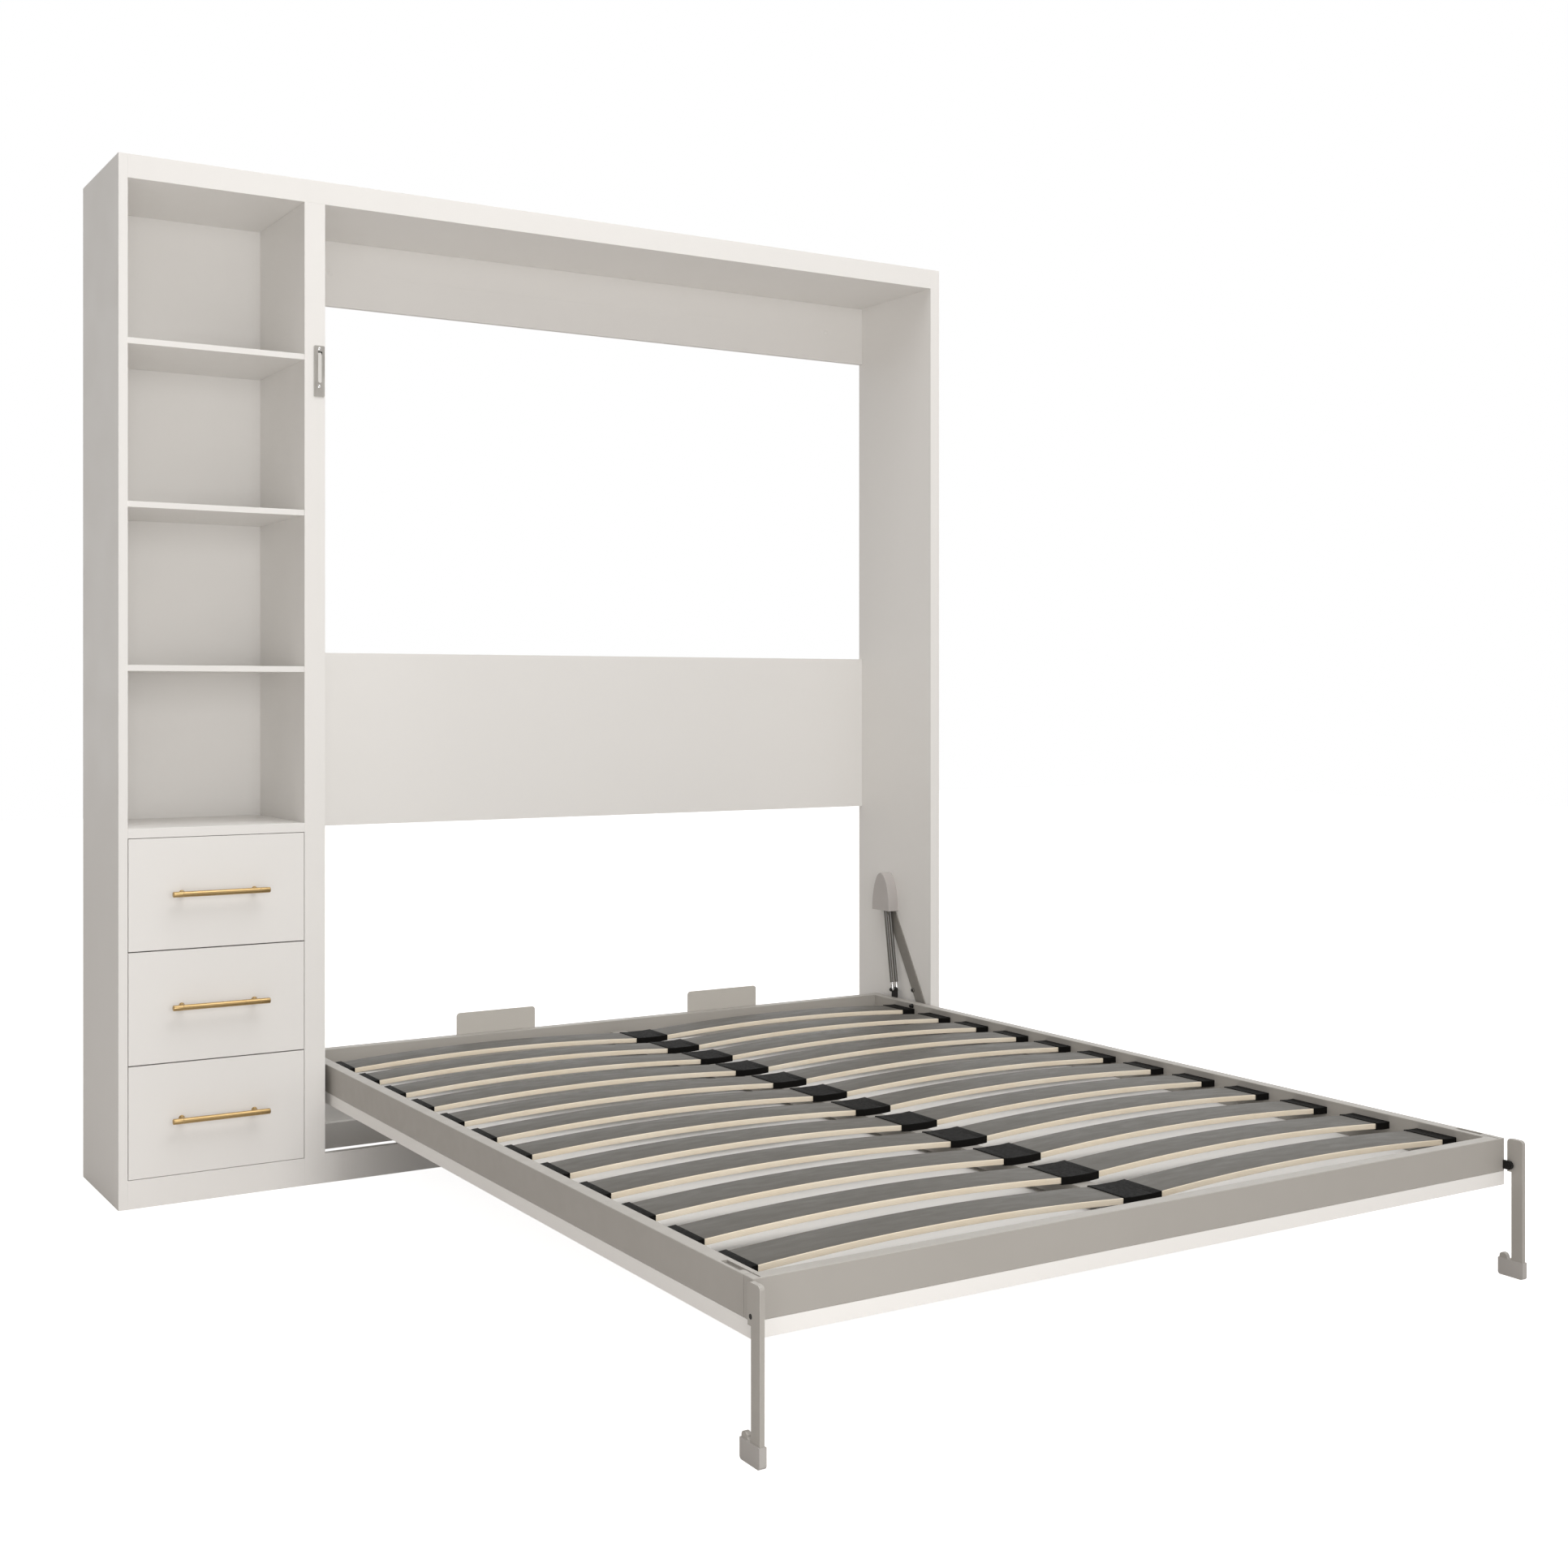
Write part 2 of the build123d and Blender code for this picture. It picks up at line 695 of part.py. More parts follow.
def strap():
    """Flat steel strap from the spring pin down to the bed's pivot."""
    run_y = strap_high[0] - strap_low[0]
    run_z = strap_high[1] - strap_low[1]
    length = math.hypot(run_y, run_z)
    top = (strap_high[0] + run_y / length * strap_reach, strap_high[1] + run_z / length * strap_reach)
    side_y = run_z / length * strap_w / 2
    side_z = -run_y / length * strap_w / 2
    face = make_face(
        Polyline(
            (strap_low[0] - side_y, strap_low[1] - side_z),
            (strap_low[0] + side_y, strap_low[1] + side_z),
            (top[0] + side_y, top[1] + side_z),
            (top[0] - side_y, top[1] - side_z),
            close=True,
        )
    )
    foot = make_hull(
        [
            (Pos(pivot_y, pivot_z) * Circle(strap_end_r)).edge(),
            (Pos(strap_low[0], strap_low[1]) * Circle(strap_w / 2)).edge(),
        ]
    )
    head = make_hull(
        [
            (Pos(spring_top[0], spring_top[1]) * Circle(strap_head_r)).edge(),
            (Pos(top[0], top[1]) * Circle(strap_w / 2)).edge(),
        ]
    )
    face = face + foot + head
    body = plate_x(wall_x, wall_x + strap_t, face)
    pin_end = wall_x + cover_t - cover_wall - 0.5
    body += rod_x(wall_x, pin_end, spring_top[0], spring_top[1], spring_pin_r)
    body += rod_x(wall_x, bed_x0 + rail_w - 0.3, pivot_y, pivot_z, pivot_pin_r)
    body += rod_x(wall_x + strap_t, wall_x + strap_t + 3, strap_bolt[0], strap_bolt[1], 5.0)
    return body


def lift_cover():
    """Plastic hood with a rounded top, open below."""
    def hood_face(shrink):
        arch = Ellipse(cover_w / 2 - shrink, cover_h - shrink)
        lower = Pos(0, -cover_h) * Rectangle(cover_w * 2, cover_h * 2)
        return Pos(cover_y, cover_z) * (arch - lower)

    hood = plate_x(wall_x, wall_x + cover_t, hood_face(0.0))
    outer = hood.edges().group_by(Axis.X)[-1].filter_by(GeomType.LINE, reverse=True)
    hood = fillet(outer, 1.5)
    room = plate_x(wall_x - 1, wall_x + cover_t - cover_wall, hood_face(cover_wall))
    below = brick(
        wall_x - 1, wall_x + cover_t - cover_wall,
        cover_y - cover_w / 2 + cover_wall, cover_y + cover_w / 2 - cover_wall,
        cover_z - 1, cover_z + 0.5,
    )
    return hood - room - below


def spring_tubes():
    """Two gas-spring tubes, each with an eye on the top pin."""
    tubes = []
    for x in spring_xs:
        eye = rod_x(-4.2, 4.2, 0, 0, spring_pin_r + 3.5)
        tube = Pos(0, 0, -(tube_start + tube_end) / 2 + 2) * Cylinder(spring_r, tube_end - tube_start + 4)
        piece = eye + tube
        piece -= rod_x(-6, 6, 0, 0, spring_pin_r + pin_play)
        piece -= Pos(0, 0, -(tube_end + rod_top - 8) / 2) * Cylinder(rod_bore_r, tube_end - rod_top + 8)
        tubes.append(on_spring(piece, x))
    return tubes


def spring_rods():
    """Two polished rods with end fittings that meet the lug between them."""
    rods = []
    for x in spring_xs:
        toward_lug = 1 if lug_x > x else -1
        bar = Pos(0, 0, -(rod_top + spring_l) / 2) * Cylinder(rod_r, spring_l - rod_top)
        collar = Pos(0, 0, -spring_l + 8) * Cylinder(rod_end_r - 0.4, 11)
        eye = Pos(0, 0, -spring_l) * rod_x(-rod_end_l / 2, rod_end_l / 2, 0, 0, rod_end_r)
        reach = abs(lug_x - x) - lug_t / 2 - lug_gap
        stub = Pos(0, 0, -spring_l) * rod_x(0, toward_lug * reach, 0, 0, spring_pin_r)
        rods.append(on_spring(bar + collar + eye + stub, x))
    return rods


def rail_lug():
    """Steel lug on the rail's top, between the two rod ends."""
    top = spring_low[1] + 6
    lug = brick(
        lug_x - lug_t / 2, lug_x + lug_t / 2,
        spring_low[0] - lug_w / 2, spring_low[0] + lug_w / 2, rail_top, top,
    )
    return fillet(lug.edges().filter_by(Axis.X).group_by(Axis.Z)[-1], 5.0)


def lift():
    """Strap, cover, tubes, rods and lug on both sides."""
    pieces = [
        ("lift_strap", [strap()]),
        ("lift_cover", [lift_cover()]),
        ("spring_tubes", spring_tubes()),
        ("spring_rods", spring_rods()),
    ]
    for name, shapes in pieces:
        put(name + "_left", *shapes)
        put(name + "_right", *[mirrored(shape) for shape in shapes])
    lug = rail_lug()
    put("rail_lugs", lug, mirrored(lug))


cabinet_boards()
tower_boards()
bay_boards()
drawers()
lock()
bed_frame()
slats()
legs()
lift()
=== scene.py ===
"""Looks of a wall bed in a cabinet with a storage tower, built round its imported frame.

Metres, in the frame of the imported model. Each sub-assembly is a class that
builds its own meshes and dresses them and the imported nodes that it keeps.
"""

import logging
import math
from dataclasses import dataclass, replace
from enum import Enum

import bmesh
import bpy
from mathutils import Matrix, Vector


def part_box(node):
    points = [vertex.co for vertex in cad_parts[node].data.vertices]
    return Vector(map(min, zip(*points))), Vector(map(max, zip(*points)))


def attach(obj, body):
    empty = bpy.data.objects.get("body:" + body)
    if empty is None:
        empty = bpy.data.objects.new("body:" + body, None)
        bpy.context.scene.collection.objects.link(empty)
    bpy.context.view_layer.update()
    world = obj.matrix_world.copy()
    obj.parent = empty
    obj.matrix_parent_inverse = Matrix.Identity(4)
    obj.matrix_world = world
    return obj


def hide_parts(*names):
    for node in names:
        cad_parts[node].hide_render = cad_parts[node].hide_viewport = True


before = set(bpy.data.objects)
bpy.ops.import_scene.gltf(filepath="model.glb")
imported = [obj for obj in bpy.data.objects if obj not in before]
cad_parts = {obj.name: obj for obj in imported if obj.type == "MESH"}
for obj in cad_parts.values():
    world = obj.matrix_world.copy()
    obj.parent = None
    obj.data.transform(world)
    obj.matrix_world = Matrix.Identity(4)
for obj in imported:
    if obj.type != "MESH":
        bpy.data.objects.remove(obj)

MM = 0.001
WELD_DISTANCE = 0.001 * MM
SHARP_ANGLE = 40.0
ROUND_SIDES = 28
ROUGH_PATCHES = 7
LOG = logging.getLogger("wall_bed")
Colour = tuple[float, float, float, float]
Point = tuple[float, float, float]
Profile = list[tuple[float, float]]


def shade(red: int, green: int, blue: int) -> Colour:
    """Turn display values from 0 to 255 into linear light.

    Args:
        red: Red as shown on a display.
        green: Green as shown on a display.
        blue: Blue as shown on a display.

    Returns:
        The colour for a shader socket.
    """
    linear = []
    for value in (red / 255, green / 255, blue / 255):
        low = value <= 0.04045
        linear.append(value / 12.92 if low else ((value + 0.055) / 1.055) ** 2.4)
    return (linear[0], linear[1], linear[2], 1.0)


class Axis(Enum):
    """Direction that a turned or drawn profile runs along."""

    X = 0
    Y = 1
    Z = 2


class Effect(Enum):
    """Shader effects that several finishes share."""

    GRAIN = "shared_grain"
    MOTTLE = "shared_mottle"
    EDGE_WEAR = "shared_edge_wear"


class Tree:
    """A node tree that is filled one node at a time."""

    def __init__(self, tree: bpy.types.NodeTree) -> None:
        """Keep the tree that is to be filled.

        Args:
            tree: A material's, a group's or the world's tree.
        """
        self.tree = tree

    def add(self, kind: str, **values: object) -> bpy.types.Node:
        """Add a node.

        Args:
            kind: Blender's name for the node type.
            **values: Settings of the node, such as operation.

        Returns:
            The new node.
        """
        node = self.tree.nodes.new(kind)
        for name, value in values.items():
            setattr(node, name, value)
        return node

    def feed(self, socket: bpy.types.NodeSocket, value: object) -> None:
        """Link a socket or give it a constant.

        Args:
            socket: The input to set.
            value: Another node's output, or the constant.
        """
        if isinstance(value, bpy.types.NodeSocket):
            self.tree.links.new(value, socket)
        else:
            socket.default_value = value

    def math(self, operation: str, first: object, second: object) -> bpy.types.NodeSocket:
        """Work out one number from two.

        Args:
            operation: Blender's name for the operation.
            first: Output or constant.
            second: Output or constant.

        Returns:
            The output of the new node.
        """
        node = self.add("ShaderNodeMath", operation=operation, use_clamp=True)
        self.feed(node.inputs[0], first)
        self.feed(node.inputs[1], second)
        return node.outputs[0]

    def less(self, value: object, amount: float) -> bpy.types.NodeSocket:
        """Take an amount away from a number.

        Args:
            value: The number.
            amount: How much is taken away.

        Returns:
            What is left, which may be below zero.
        """
        node = self.add("ShaderNodeMath", operation="SUBTRACT")
        self.feed(node.inputs[0], value)
        self.feed(node.inputs[1], amount)
        return node.outputs[0]

    def spread(
        self, value: object, low: object, high: object, span: tuple[float, float]
    ) -> bpy.types.NodeSocket:
        """Map a number from a span onto a range, without going past its ends.

        Args:
            value: The number to map.
            low: Result at the start of the span.
            high: Result at the end of the span.
            span: Where the span starts and ends.

        Returns:
            The mapped number.
        """
        node = self.add("ShaderNodeMapRange")
        self.feed(node.inputs["Value"], value)
        self.feed(node.inputs["From Min"], span[0])
        self.feed(node.inputs["From Max"], span[1])
        self.feed(node.inputs["To Min"], low)
        self.feed(node.inputs["To Max"], high)
        return node.outputs["Result"]

    def blend(self, share: object, first: object, second: object) -> bpy.types.NodeSocket:
        """Mix two colours.

        Args:
            share: How much of the second colour shows.
            first: Colour at a share of 0.
            second: Colour at a share of 1.

        Returns:
            The mixed colour.
        """
        node = self.add("ShaderNodeMix", data_type="RGBA")
        self.feed(node.inputs[0], share)
        self.feed(node.inputs[6], first)
        self.feed(node.inputs[7], second)
        return node.outputs[2]


class EffectLibrary:
    """Makes the shared effects, each of them once."""

    def __init__(self) -> None:
        """Start with no effect made."""
        self.made: dict[Effect, bpy.types.NodeTree] = {}

    def place(self, tree: Tree, effect: Effect, **values: object) -> bpy.types.NodeSocket:
        """Put an effect into a material.

        Args:
            tree: The material's tree.
            effect: Which effect.
            **values: Outputs or constants for its inputs, by name.

        Returns:
            The effect's output.
        """
        if effect not in self.made:
            makers = {
                Effect.GRAIN: self.make_grain,
                Effect.MOTTLE: self.make_mottle,
                Effect.EDGE_WEAR: self.make_edge_wear,
            }
            self.made[effect] = makers[effect]()
        node = tree.add("ShaderNodeGroup", node_tree=self.made[effect])
        for name, value in values.items():
            tree.feed(node.inputs[name], value)
        return node.outputs[0]

    def start(
        self, effect: Effect, inputs: dict[str, str], output: str
    ) -> tuple[Tree, bpy.types.Node, bpy.types.Node]:
        """Open a new group.

        Args:
            effect: The effect it holds.
            inputs: Socket type by input name.
            output: Name of its one output.

        Returns:
            The tree, the group's inputs and the group's output node.
        """
        group = bpy.data.node_groups.new(effect.value, "ShaderNodeTree")
        for name, kind in inputs.items():
            group.interface.new_socket(name=name, in_out="INPUT", socket_type=kind)
        group.interface.new_socket(name=output, in_out="OUTPUT", socket_type="NodeSocketFloat")
        tree = Tree(group)
        return tree, tree.add("NodeGroupInput"), tree.add("NodeGroupOutput")

    def make_grain(self) -> bpy.types.NodeTree:
        """Make fine relief, such as brushing, foil grain or paint texture.

        Returns:
            The group.
        """
        sockets = {
            "Coordinate": "NodeSocketVector",
            "Scale": "NodeSocketFloat",
        }
        tree, entry, end = self.start(Effect.GRAIN, sockets, "Height")
        noise = tree.add("ShaderNodeTexNoise")
        noise.inputs["Detail"].default_value = 5.0
        noise.inputs["Roughness"].default_value = 0.62
        tree.feed(noise.inputs["Vector"], entry.outputs["Coordinate"])
        tree.feed(noise.inputs["Scale"], entry.outputs["Scale"])
        centred = tree.spread(noise.outputs["Fac"], 0.0, 1.0, (0.25, 0.75))
        tree.feed(end.inputs["Height"], centred)
        return tree.tree

    def make_mottle(self) -> bpy.types.NodeTree:
        """Make broad soft patches between two values.

        Returns:
            The group.
        """
        sockets = {
            "Coordinate": "NodeSocketVector",
            "Scale": "NodeSocketFloat",
            "Low": "NodeSocketFloat",
            "High": "NodeSocketFloat",
        }
        tree, entry, end = self.start(Effect.MOTTLE, sockets, "Value")
        noise = tree.add("ShaderNodeTexNoise")
        noise.inputs["Detail"].default_value = 3.0
        noise.inputs["Roughness"].default_value = 0.55
        tree.feed(noise.inputs["Vector"], entry.outputs["Coordinate"])
        tree.feed(noise.inputs["Scale"], entry.outputs["Scale"])
        low, high = entry.outputs["Low"], entry.outputs["High"]
        value = tree.spread(noise.outputs["Fac"], low, high, (0.3, 0.7))
        tree.feed(end.inputs["Value"], value)
        return tree.tree

    def make_edge_wear(self) -> bpy.types.NodeTree:
        """Make a mask of rubbed edges, broken up so that it isn't a line.

        Returns:
            The group.
        """
        sockets = {
            "Coordinate": "NodeSocketVector",
            "Radius": "NodeSocketFloat",
            "Amount": "NodeSocketFloat",
        }
        tree, entry, end = self.start(Effect.EDGE_WEAR, sockets, "Mask")
        bevel = tree.add("ShaderNodeBevel", samples=4)
        tree.feed(bevel.inputs["Radius"], entry.outputs["Radius"])
        surface = tree.add("ShaderNodeNewGeometry")
        dot = tree.add("ShaderNodeVectorMath", operation="DOT_PRODUCT")
        tree.feed(dot.inputs[0], bevel.outputs["Normal"])
        tree.feed(dot.inputs[1], surface.outputs["Normal"])
        edge = tree.spread(dot.outputs["Value"], 1.0, 0.0, (0.86, 0.999))
        noise = tree.add("ShaderNodeTexNoise")
        noise.inputs["Scale"].default_value = 60.0
        noise.inputs["Detail"].default_value = 4.0
        tree.feed(noise.inputs["Vector"], entry.outputs["Coordinate"])
        broken = tree.spread(noise.outputs["Fac"], 0.25, 1.0, (0.35, 0.62))
        mask = tree.math("MULTIPLY", edge, broken)
        tree.feed(end.inputs["Mask"], tree.math("MULTIPLY", mask, entry.outputs["Amount"]))
        return tree.tree


EFFECTS = EffectLibrary()


@dataclass(frozen=True)
class Finish:
    """A finish with patches of tone, fine relief and rubbed edges.

    Attributes:
        name: Name of the material.
        base: Main colour.
        patch: Colour of the broad patches.
        worn: Colour of the rubbed edges.
        rough: Lowest and highest roughness.
        patch_scale: Patches to the metre.
        patch_share: How strongly the patches show.
        grain_scale: Grains to the metre.
        stretch: Grain scale along each axis, small where it runs long.
        grain_tint: How much the grain darkens the colour.
        relief: Depth of the relief in metres.
        wear: How strongly the rubbed edges show.
        wear_width: Width of the rubbed edges in metres.
        metallic: 1 for bare metal.
        coat: Share of clear lacquer.
        coat_rough: Roughness of the lacquer.
        specular: Strength of the reflection of a dull surface.
    """

    name: str
    base: Colour
    patch: Colour
    worn: Colour
    rough: tuple[float, float]
    patch_scale: float = 3.0
    patch_share: float = 0.6
    grain_scale: float = 900.0
    stretch: Point = (1.0, 1.0, 1.0)
    grain_tint: float = 0.03
    relief: float = 0.00004
    wear: float = 0.5
    wear_width: float = 0.0012
    metallic: float = 0.0
    coat: float = 0.0
    coat_rough: float = 0.2
    specular: float = 0.5

    def colour(
        self, tree: Tree, place: bpy.types.NodeSocket, grain: bpy.types.NodeSocket
    ) -> bpy.types.NodeSocket:
        """Work out the colour over the surface.

        Args:
            tree: The material's tree.
            place: Coordinate on the object.
            grain: Height of the grain.

        Returns:
            The colour.
        """
        scale, share = self.patch_scale, self.patch_share
        patches = EFFECTS.place(
            tree, Effect.MOTTLE, Coordinate=place, Scale=scale, Low=0.0, High=share
        )
        toned = tree.blend(patches, self.base, self.patch)
        hollow = tree.spread(grain, self.grain_tint, 0.0, (0.0, 1.0))
        grained = tree.blend(hollow, toned, (0.0, 0.0, 0.0, 1.0))
        rubbed = EFFECTS.place(
            tree, Effect.EDGE_WEAR, Coordinate=place, Radius=self.wear_width, Amount=self.wear
        )
        return tree.blend(rubbed, grained, self.worn)

    def material(self) -> bpy.types.Material:
        """Make the material, or find it if it is made already.

        Returns:
            The material.
        """
        known = bpy.data.materials.get(self.name)
        if known is not None:
            return known
        material = bpy.data.materials.new(self.name)
        material.use_nodes = True
        material.node_tree.nodes.clear()
        tree = Tree(material.node_tree)
        place = tree.add("ShaderNodeTexCoord").outputs["Object"]
        drawn = tree.add("ShaderNodeMapping")
        drawn.inputs["Scale"].default_value = self.stretch
        tree.feed(drawn.inputs["Vector"], place)
        along = drawn.outputs["Vector"]
        grain = EFFECTS.place(tree, Effect.GRAIN, Coordinate=along, Scale=self.grain_scale)
        surface = tree.add("ShaderNodeBsdfPrincipled")
        tree.feed(surface.inputs["Base Color"], self.colour(tree, place, grain))
        low, high = self.rough
        scale = self.patch_scale * ROUGH_PATCHES
        rough = EFFECTS.place(
            tree, Effect.MOTTLE, Coordinate=along, Scale=scale, Low=low, High=high
        )
        tree.feed(surface.inputs["Roughness"], rough)
        surface.inputs["Metallic"].default_value = self.metallic
        surface.inputs["Coat Weight"].default_value = self.coat
        surface.inputs["Coat Roughness"].default_value = self.coat_rough
        surface.inputs["Specular IOR Level"].default_value = self.specular
        bump = tree.add("ShaderNodeBump")
        bump.inputs["Strength"].default_value = 1.0
        bump.inputs["Distance"].default_value = self.relief
        tree.feed(bump.inputs["Height"], grain)
        tree.feed(surface.inputs["Normal"], bump.outputs["Normal"])
        end = tree.add("ShaderNodeOutputMaterial")
        tree.feed(end.inputs["Surface"], surface.outputs["BSDF"])
        return material


@dataclass(frozen=True)
class PlyFinish(Finish):
    """Birch laminate seen at its edge, with thin darker glue lines.

    Attributes:
        plies: How many veneers lie on each other.
        glue: Colour of the glue lines.
        glue_share: How strongly the glue lines show.
        glue_span: Distance from a veneer's middle, in veneers, over which glue sets in.
        layer: Name of the mesh attribute that runs from 0 to 1 across the thickness.
    """

    plies: int = 5
    glue: Colour = shade(206, 180, 146)
    glue_share: float = 0.45
    glue_span: tuple[float, float] = (0.36, 0.5)
    layer: str = "ply"

    def colour(
        self, tree: Tree, place: bpy.types.NodeSocket, grain: bpy.types.NodeSocket
    ) -> bpy.types.NodeSocket:
        """Work out the colour over the edge.

        Args:
            tree: The material's tree.
            place: Coordinate on the object.
            grain: Height of the grain.

        Returns:
            The colour.
        """
        plain = super().colour(tree, place, grain)
        across = tree.add("ShaderNodeAttribute", attribute_name=self.layer)
        turns = tree.add("ShaderNodeMath", operation="MULTIPLY")
        tree.feed(turns.inputs[0], across.outputs["Fac"])
        tree.feed(turns.inputs[1], float(self.plies))
        share = tree.add("ShaderNodeMath", operation="FRACT")
        tree.feed(share.inputs[0], turns.outputs[0])
        away = tree.math("ABSOLUTE", tree.less(share.outputs[0], 0.5), 0.0)
        line = tree.spread(away, 0.0, self.glue_share, self.glue_span)
        return tree.blend(line, plain, self.glue)


BOARD = Finish(
    "satin_white_board",
    base=shade(243, 241, 238),
    patch=shade(240, 238, 235),
    worn=shade(248, 248, 247),
    rough=(0.34, 0.46),
    patch_scale=1.4,
    grain_scale=420.0,
    grain_tint=0.012,
    relief=0.000018,
    wear=0.45,
    wear_width=0.0015,
)
RAW_BOARD = Finish(
    "tray_board",
    base=shade(222, 218, 210),
    patch=shade(214, 209, 200),
    worn=shade(232, 229, 223),
    rough=(0.42, 0.58),
    patch_scale=4.0,
    grain_scale=260.0,
    stretch=(1.0, 0.12, 1.0),
    grain_tint=0.05,
)
FRAME_PAINT = Finish(
    "powder_coated_frame",
    base=shade(175, 171, 165),
    patch=shade(170, 166, 160),
    worn=shade(204, 201, 196),
    rough=(0.36, 0.48),
    patch_scale=5.0,
    grain_scale=1500.0,
    grain_tint=0.05,
    relief=0.00007,
    wear=0.6,
    wear_width=0.0018,
)
STOP_PAINT = replace(
    FRAME_PAINT,
    name="powder_coated_stops",
    base=shade(206, 202, 195),
    patch=shade(200, 196, 189),
    worn=shade(222, 219, 213),
    rough=(0.36, 0.5),
    wear_width=0.0012,
)
SHOE_PLASTIC = Finish(
    "shoe_plastic",
    base=shade(116, 112, 107),
    patch=shade(109, 105, 100),
    worn=shade(168, 165, 160),
    rough=(0.5, 0.68),
    patch_scale=30.0,
    grain_scale=2600.0,
    relief=0.0001,
)
SLAT_FOIL = Finish(
    "slat_foil",
    base=shade(91, 88, 82),
    patch=shade(87, 84, 78),
    worn=shade(128, 124, 118),
    rough=(0.46, 0.6),
    patch_scale=9.0,
    grain_scale=700.0,
    stretch=(0.3, 1.0, 1.0),
    grain_tint=0.07,
    relief=0.00005,
    wear=0.35,
    wear_width=0.001,
)
SLAT_EDGE = PlyFinish(
    "birch_ply_edge",
    base=shade(248, 238, 220),
    patch=shade(243, 229, 206),
    worn=shade(250, 243, 230),
    rough=(0.5, 0.66),
    patch_scale=9.0,
    patch_share=0.9,
    grain_scale=700.0,
    stretch=(0.06, 1.0, 1.0),
    grain_tint=0.09,
    relief=0.00005,
    wear=0.2,
)
CAP_PLASTIC = Finish(
    "slat_cap_plastic",
    base=shade(15, 14, 13),
    patch=shade(12, 11, 10),
    worn=shade(34, 33, 31),
    rough=(0.58, 0.72),
    specular=0.1,
    patch_scale=26.0,
    grain_scale=1900.0,
    relief=0.00016,
    wear=0.35,
    wear_width=0.0009,
)
COVER_PLASTIC = Finish(
    "lift_cover_plastic",
    base=shade(196, 191, 188),
    patch=shade(190, 185, 182),
    worn=shade(214, 210, 206),
    rough=(0.42, 0.56),
    patch_scale=24.0,
    grain_scale=2200.0,
    relief=0.00007,
)
BRASS = Finish(
    "brushed_brass",
    base=shade(198, 170, 122),
    patch=shade(182, 152, 102),
    worn=shade(226, 206, 168),
    rough=(0.26, 0.42),
    patch_scale=18.0,
    grain_scale=1600.0,
    stretch=(0.04, 1.0, 1.0),
    grain_tint=0.14,
    relief=0.00003,
    wear=0.7,
    metallic=1.0,
)
STRAP_PAINT = Finish(
    "grey_strap_steel",
    base=shade(148, 144, 138),
    patch=shade(138, 134, 128),
    worn=shade(176, 172, 166),
    rough=(0.42, 0.58),
    patch_scale=22.0,
    patch_share=0.8,
    grain_scale=1700.0,
    grain_tint=0.08,
    relief=0.00006,
    wear=0.7,
)
TUBE_PAINT = Finish(
    "spring_tube_paint",
    base=shade(96, 93, 88),
    patch=shade(88, 85, 80),
    worn=shade(150, 147, 141),
    rough=(0.16, 0.26),
    patch_scale=20.0,
    grain_scale=1500.0,
    relief=0.00003,
    wear=0.6,
    coat=0.8,
)
CHROME = Finish(
    "polished_chrome",
    base=shade(226, 226, 226),
    patch=shade(214, 214, 214),
    worn=shade(240, 240, 240),
    rough=(0.08, 0.18),
    patch_scale=30.0,
    grain_scale=2400.0,
    grain_tint=0.05,
    relief=0.000012,
    metallic=1.0,
)
LOCK_STEEL = Finish(
    "brushed_lock_steel",
    base=shade(206, 203, 198),
    patch=shade(190, 187, 182),
    worn=shade(236, 235, 232),
    rough=(0.3, 0.46),
    patch_scale=40.0,
    grain_scale=1700.0,
    stretch=(1.0, 1.0, 0.05),
    grain_tint=0.16,
    relief=0.00002,
    wear=0.7,
    metallic=1.0,
)
LEVER_STEEL = replace(
    LOCK_STEEL,
    name="satin_lever_steel",
    base=shade(232, 230, 226),
    patch=shade(224, 222, 218),
    worn=shade(244, 243, 240),
    rough=(0.3, 0.42),
    grain_tint=0.08,
    wear=0.5,
    metallic=0.2,
)
RUNNER_ZINC = Finish(
    "zinc_runner_steel",
    base=shade(190, 192, 194),
    patch=shade(168, 171, 175),
    worn=shade(220, 221, 222),
    rough=(0.26, 0.46),
    patch_scale=38.0,
    patch_share=0.9,
    grain_scale=1300.0,
    stretch=(1.0, 0.1, 1.0),
    grain_tint=0.1,
    relief=0.00002,
    metallic=1.0,
)
BLACK_STEEL = Finish(
    "black_oxide_steel",
    base=shade(36, 35, 34),
    patch=shade(30, 30, 30),
    worn=shade(96, 94, 92),
    rough=(0.3, 0.45),
    patch_scale=40.0,
    grain_scale=1800.0,
    relief=0.00005,
    metallic=0.6,
)


